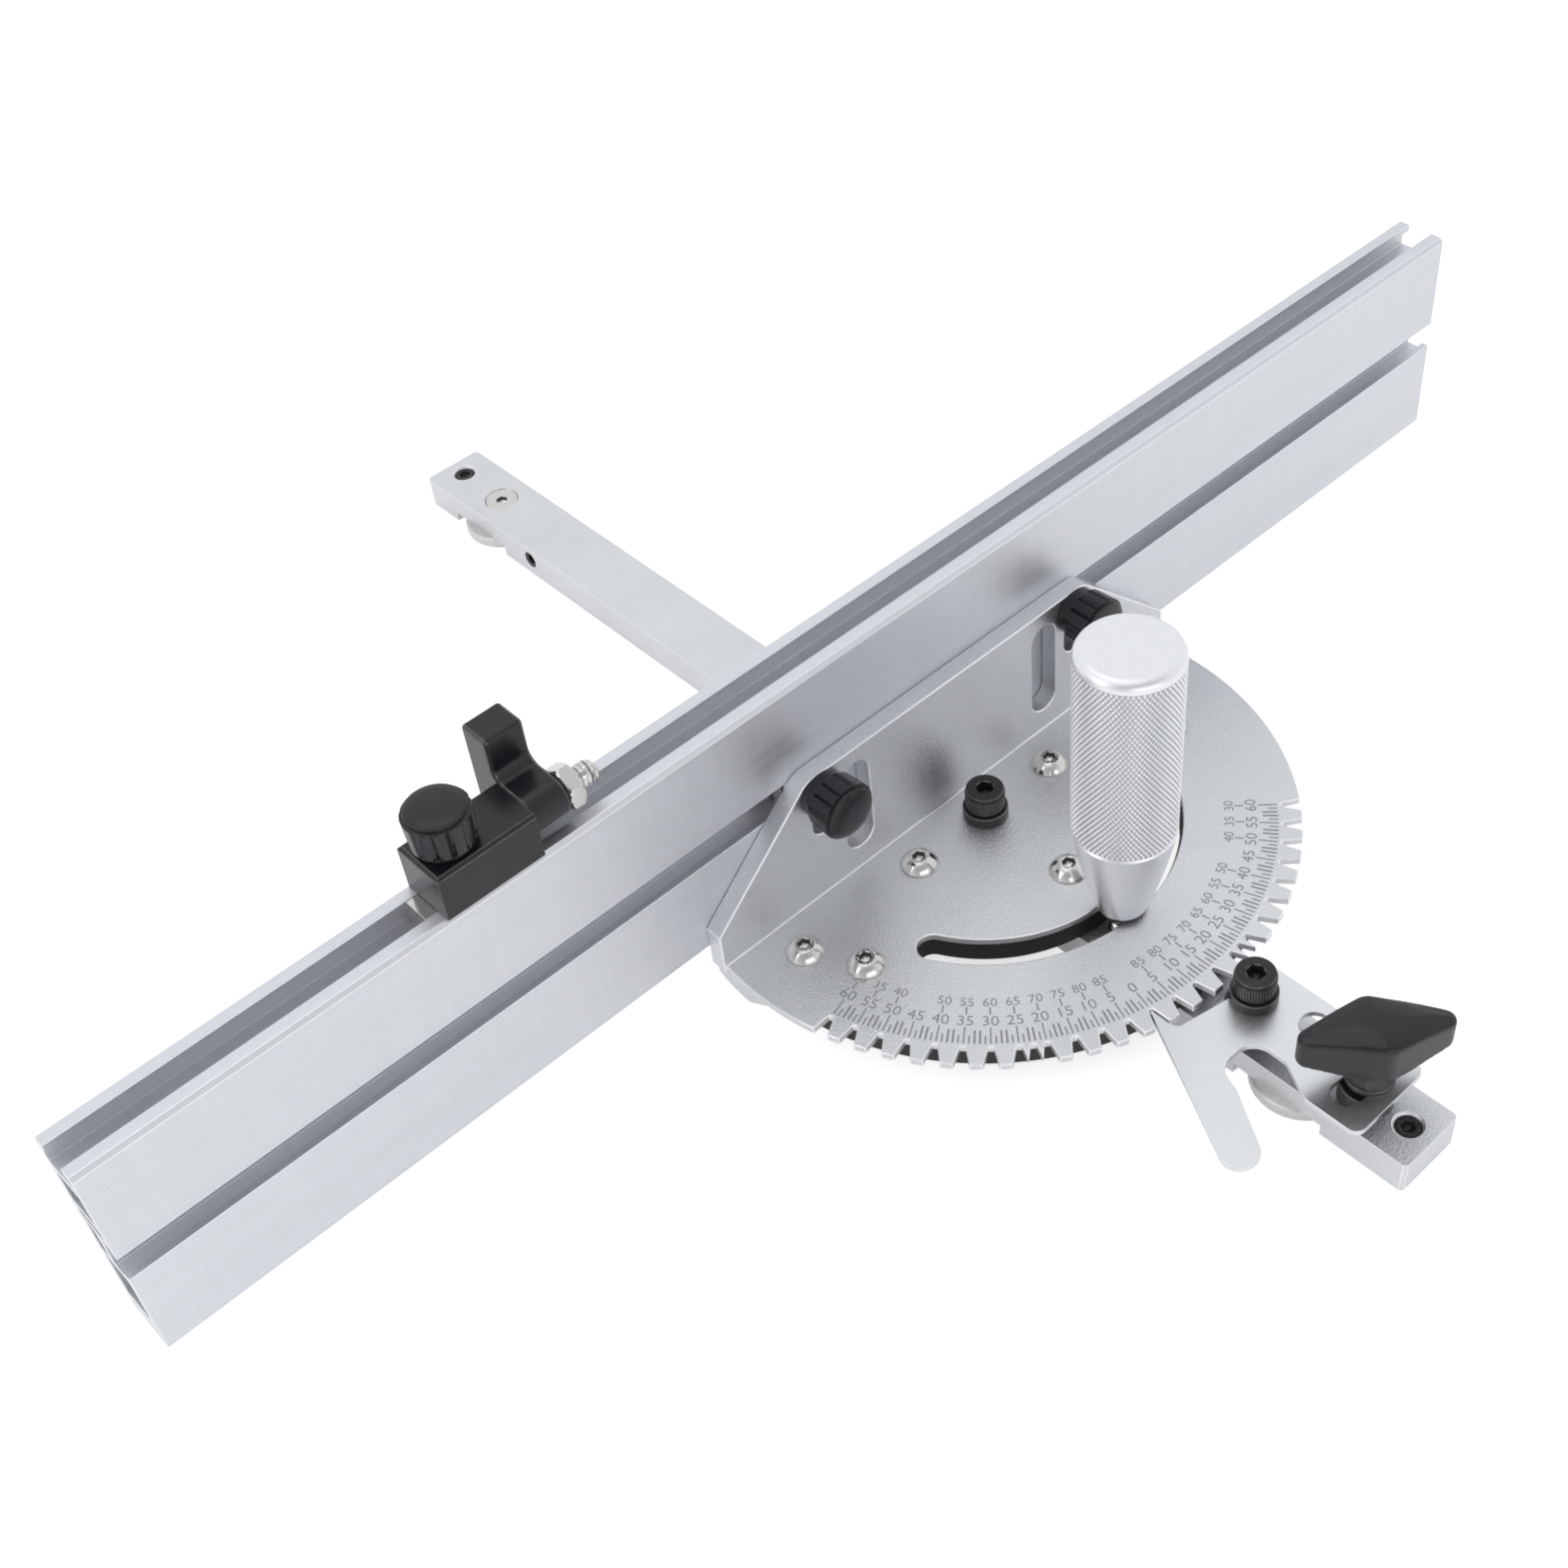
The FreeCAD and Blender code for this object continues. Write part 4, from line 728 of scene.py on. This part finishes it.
def coil(radius, core, pitch, low, high):
    """Ridge of a thread: a four-sided rod wound round the upright axis."""
    line = radius.node("GeometryNodeCurveSpiral", {}, {
        "Resolution": 24, "Rotations": (high - low) / pitch,
        "Start Radius": (core + thread_root) * MM, "End Radius": (core + thread_root) * MM,
        "Height": (high - low) * MM})
    section = radius.node("GeometryNodeCurvePrimitiveCircle", {}, {
        "Resolution": 4, "Radius": (radius - core - thread_root) * MM})
    rod = radius.node("GeometryNodeCurveToMesh", {}, {
        "Curve": line, "Profile Curve": section, "Fill Caps": True})
    return radius.node("GeometryNodeTransform", {}, {
        "Geometry": rod, "Translation": vector(0, 0, low)})


def stud(node, way="up"):
    """Threaded stud in the place of its plain CAD rod."""
    low, high = solids(node)[0]
    length = high.x - low.x if way == "right" else high.z - low.z
    place = Vector((low.x if way == "right" else middle(low.x, high.x), middle(low.y, high.y),
                    middle(low.z, high.z) if way == "right" else low.z)) * MM
    rod = lathe("rod", rounded([
        (0, 0), (stud_core - 0.2, 0), (stud_core, 0.4), (stud_core, length - 0.5),
        (stud_core - 0.4, length), (0, length)]), place, way)
    thread = grown("thread", coil, bright_steel, radius=stud_radius, core=stud_core,
                   pitch=stud_pitch, low=stud_plain, high=length - stud_plain)
    if way == "right":
        thread.data.transform(Matrix.Rotation(math.pi / 2, 4, "Y"))
    thread.data.transform(Matrix.Translation(place))
    show(joined(node + "_dressed", [rod, thread]), node, "bright_steel", bright_steel)


moulded_plastic = finish("moulded_plastic", moulded)
wing = new_piece("wing_knob_dressed", frame["nodes"]["wing_knob"].data.copy())
weld = wing.modifiers.new("weld", "WELD")
weld.merge_threshold = weld_gap
remesh = wing.modifiers.new("even", "REMESH")
remesh.mode = "VOXEL"
remesh.voxel_size = wing_voxel
remesh.use_smooth_shade = True
round_off = wing.modifiers.new("round_off", "SMOOTH")
round_off.factor = 0.5
round_off.iterations = wing_smoothing
graph = bpy.context.evaluated_depsgraph_get()
wing.data = bpy.data.meshes.new_from_object(wing.evaluated_get(graph))
wing.modifiers.clear()
low, high = solids("wing_knob")[0]
wing_middle = Vector((middle(low.x, high.x), middle(low.y, high.y))) * MM
reaches = [vertex.co.xy - wing_middle for vertex in wing.data.vertices]
tip = max(reaches, key=lambda reach: reach.length)
across = Vector((-tip.y, tip.x)) / tip.length
waist = max(abs(reach.dot(across)) for reach in reaches)
for vertex, reach in zip(wing.data.vertices, reaches):
    if vertex.co.z > (high.z - wing_top) * MM and vertex.normal.z > 0.3:
        outward = abs(reach.dot(tip)) / tip.length_squared + abs(reach.dot(across)) / waist
        vertex.co.z += wing_crown * MM * max(0, 1 - outward ** 2)
show(settled(wing), "wing_knob", "wing_plastic", moulded_plastic)
stud("wing_stud")

# Handle: aluminium bar turned to a tapered grip with a polished round top, where the lathe's
# centre has left a small pit, and a diamond knurl rolled in between. It screws down on a stud in
# the curved slot, and clamps the bracket.
low, high = solids("handle_grip")[0]
grip_radius = (high.x - low.x) / 2
grip_place = Vector((middle(low.x, high.x), middle(low.y, high.y), 0)) * MM
bore_radius = 3.25
bore_depth = 21
taper_foot, taper_belly, taper_head = 6.1, 10.4, 12.4
taper_steps = 8
taper_top = 46.0
top_round = 2.6
round_start = high.z - top_round
pit_radius = 0.8
pit_depth = 0.08
groove_depth = 0.42
groove_run = 0.3
knurl_radius = grip_radius - groove_depth
knurl_around = 64
knurl_rise = 0.92
knurl_margin = 0.6
diamond_top = 0.22


def diamonds(around, rows, low, rise, radius, depth):
    """Knurl: rows of flat-topped diamonds, each row half a step round from the last."""
    index = around.node("GeometryNodeInputIndex", {}, {})
    row = index.maths("FLOOR", (index + 0.5) / around)
    angle = (index - row * around + (row % 2.0) * 0.5) * math.tau / around
    spots = around.node("GeometryNodePoints", {}, {"Count": around * rows, "Position": vector(
        radius * angle.sine(), radius * angle.cosine() * -1, low + row * rise)})
    diamond = around.node("GeometryNodeMeshCone", {"fill_type": "NGON"}, {
        "Vertices": 4, "Radius Top": diamond_top, "Radius Bottom": 1, "Depth": 1})
    turn = around.node("ShaderNodeCombineXYZ", {}, {0: math.pi / 2, 2: angle})
    return around.node("GeometryNodeInstanceOnPoints", {}, {
        "Points": spots, "Instance": diamond, "Rotation": turn,
        "Scale": vector(radius * math.pi / around, rise, depth)})


def turned_aluminium(point):
    grain = noise(point, (400, 400, 5200), detail=2)
    return {"Base Color": tint(grain, (0.86, 0.865, 0.885), (0.92, 0.925, 0.94)),
            "Roughness": 0.3 + grain * 0.1}


def knurled_aluminium(point):
    """Painted shade: darker down between the diamonds and brighter towards their tips."""
    flat = point.node("ShaderNodeVectorMath", {"operation": "MULTIPLY"}, {0: point, 1: (1, 1, 0)})
    reach = point.node("ShaderNodeVectorMath", {"operation": "DISTANCE"},
                       {0: flat, 1: grip_place}, output=1)
    rise = (reach / MM - knurl_radius) / groove_depth
    return {"Base Color": tint(rise.ramp((0.0, 0.0), (0.75, 1.0)), (0.50, 0.505, 0.52),
                               (0.98, 0.98, 0.99)),
            "Roughness": 0.28 + noise(point, 2600) * 0.12}


stud("handle_stud")
handle_aluminium = finish("handle_aluminium", turned_aluminium, metallic=1)
knurl_shaded_aluminium = finish("knurl_shaded_aluminium", knurled_aluminium, metallic=1)
taper = []
for step in range(taper_steps + 1):
    share = step / taper_steps
    taper.append((taper_foot * (1 - share) ** 2 + 2 * taper_belly * share * (1 - share)
                  + taper_head * share ** 2, low.z + (taper_top - low.z) * share))
grip_rings = [(0, low.z + bore_depth), (bore_radius, low.z + bore_depth), (bore_radius, low.z)]
grip_rings += rounded([(5.0, low.z), (taper_foot, low.z, 0.4), taper[1]])[:-1]
grip_rings += taper[1:-1]
grip_rings += [(grip_radius, taper_top - 0.5), (knurl_radius, taper_top),
               (knurl_radius, round_start - groove_run), (grip_radius, round_start)]
grip_rings += [(grip_radius - top_round * (1 - math.cos(math.radians(turn))),
                round_start + top_round * math.sin(math.radians(turn)))
               for turn in range(10, 91, 10)]
grip_rings += [(pit_radius, high.z), (pit_radius - 0.2, high.z - pit_depth + 0.02),
               (0, high.z - pit_depth)]
grip = lathe("handle_grip_dressed", grip_rings, grip_place, segments=96)
# The grip's faces under the knurl take the knurl's metal, dark there with the painted shade between
# the diamonds.
for face in grip.data.polygons:
    if taper_top * MM < face.center.z < (round_start - groove_run) * MM:
        face.material_index = 1
show(grip, "handle_grip", "handle", handle_aluminium, knurl_shaded_aluminium)
knurl = grown("handle_knurl", diamonds, knurl_shaded_aluminium, around=knurl_around,
              rows=int((round_start - taper_top - knurl_margin) / knurl_rise),
              low=taper_top + 0.75, rise=knurl_rise, radius=knurl_radius - 0.01,
              depth=groove_depth)
knurl.data.transform(Matrix.Translation(grip_place))
ride(knurl, "handle", "handle", knurl_shaded_aluminium)


# Fence: extruded aluminium with fine die lines along its length, satin anodised and sawn square.
# One T-slot along its top carries the stop, and one along its face takes the bracket's bolts.
def extruded(point):
    lines = noise(point, (5, 2200, 2200))
    broad = noise(point, (3, 110, 110))
    across = noise(point, (700, 30, 30), detail=2)
    return {"Base Color": tint(lines * 0.5 + broad * 0.3 + across * 0.2, (0.63, 0.64, 0.665),
                               (0.86, 0.87, 0.905)),
            "Roughness": 0.36 + lines * 0.18,
            "Normal": bump(lines, 0.02)}


fence_aluminium = finish("fence_aluminium", extruded, metallic=1)
# Its broken edges take the brighter metal of the painted edge highlight.
show(eased("fence_extrusion", 0.25), "fence_extrusion", "fence", fence_aluminium, edge_highlight_aluminium)

# Bolts and nuts of the fence and the stop: plated steel. The T-bolts and the T-nut slide in the
# slots, and the flip arm hangs on a threaded bolt, held by a nut with its corners turned off.
nut_height = 4.0
nut_half = 4.7
nut_face = 3.2
nut_bore = 2.3
nut_steps = 16
chamfer_start = 0.95
chamfer_slope = 1.6


def chamfered_hexagon(radius, height, angle):
    """Six flats, with the corners turned off towards both faces."""
    if radius < nut_half:
        return radius
    return min(hexagon(radius, angle),
               radius * chamfer_start + min(height, nut_height - height) * chamfer_slope)


for node in ("fence_bolt_left", "fence_bolt_right", "stop_tnut"):
    show(eased(node, 0.3), node, "bright_steel", bright_steel, bright_steel)
stud("stop_stud")
stud("flip_bolt", "right")
low, high = solids("flip_nut")[0]
nut_place = Vector((low.x, middle(low.y, high.y), middle(low.z, high.z))) * MM
nut_rings = [(nut_bore, 0), (nut_face, 0)]
nut_rings += [(nut_half, nut_height * step / nut_steps) for step in range(nut_steps + 1)]
nut_rings += [(nut_face, nut_height), (nut_face - 0.2, nut_height - 0.4),
              (nut_bore, nut_height - 0.4), (nut_bore, 0)]
show(lathe("flip_nut_dressed", nut_rings, nut_place, "right", 96, chamfered_hexagon), "flip_nut",
     "bright_steel", bright_steel)

# Round knobs: moulded black plastic, grooved for grip, with a smooth rim and a slightly domed top.
# Two clamp the fence on the bracket's flange and a third, on a shorter neck, clamps the stop.
knob_bore = 3.25
knob_bore_depth = 8.3
neck_radius = 6.2
knob_foot = 7.0
knob_waist = 7.2
knob_radius = 7.4
flutes = 12
flute_depth = 0.62
flute_narrow = 2.9
fluted_top = 9.6
rim_height = 0.9
rim_radius = 6.6
dome_radius = 6.1
dome_height = 0.6
dome_aim = 11


def grooved(radius, height, angle):
    """Narrow grooves between wide lands, on the fluted part only."""
    if not neck_height + 0.3 < height < fluted_top - 0.1:
        return radius
    share = angle * flutes / math.tau % 1
    near = abs(share - 0.5) * 2
    return radius - flute_depth * max(0, 1 - near * flute_narrow) ** 0.7


for node, way, neck_height in (("fence_knob_left", "near", 3.0), ("fence_knob_right", "near", 3.0),
                               ("stop_knob", "up", 1.4)):
    low, high = solids(node)[0]
    place = (Vector((middle(low.x, high.x), high.y, middle(low.z, high.z))) if way == "near"
             else Vector((middle(low.x, high.x), middle(low.y, high.y), low.z))) * MM
    rings = rounded([(0, knob_bore_depth), (knob_bore, knob_bore_depth), (knob_bore, 0),
                     (neck_radius, 0, 0.3), (neck_radius, neck_height),
                     (knob_foot, neck_height, 0.35), (knob_waist, middle(neck_height, fluted_top))])
    rings += [(knob_radius - 0.05, fluted_top - 0.7), (knob_radius, fluted_top - 0.35),
              (knob_waist, fluted_top - 0.08), (rim_radius, fluted_top),
              (rim_radius - 0.05, fluted_top + 0.08)]
    rings += rounded([(rim_radius, fluted_top + 0.15), (rim_radius, fluted_top + rim_height, 0.5),
                      (0, dome_aim)])[1:-1]
    rings += [(dome_radius * math.cos(math.radians(turn)), fluted_top + rim_height - 0.05
               + (dome_height + 0.05) * math.sin(math.radians(turn))) for turn in range(15, 91, 15)]
    rings[-1] = (0, fluted_top + rim_height + dome_height)
    show(lathe(node + "_dressed", rings, place, way, flutes * 16, grooved), node,
         "knob_plastic", moulded_plastic)


# Stop block and flip arm: milled aluminium, black anodised, with the broken edges in a lighter,
# glossier black: a painted highlight. The block rides on the fence's top, and the arm swings down
# over the far face to stop the work.
def black_anodised(point):
    grain = noise(point, 1500)
    return {"Base Color": tint(grain, (0.008, 0.007, 0.010), (0.011, 0.010, 0.014)),
            "Roughness": 0.25 + grain * 0.03}


# Painted highlight: a lighter, glossier black for the broken edges.
def black_edge(point):
    return {"Base Color": tint(noise(point, 900), 0.04, 0.16)}


anodised_black = finish("anodised_black", black_anodised)
highlight_black = finish("highlight_black", black_edge, metallic=0.6, roughness=0.22)
for node, edge in (("stop_block", 0.22), ("flip_arm", 0.8)):
    show(eased(node, edge, segments=3), node, "stop_anodised", anodised_black, highlight_black)
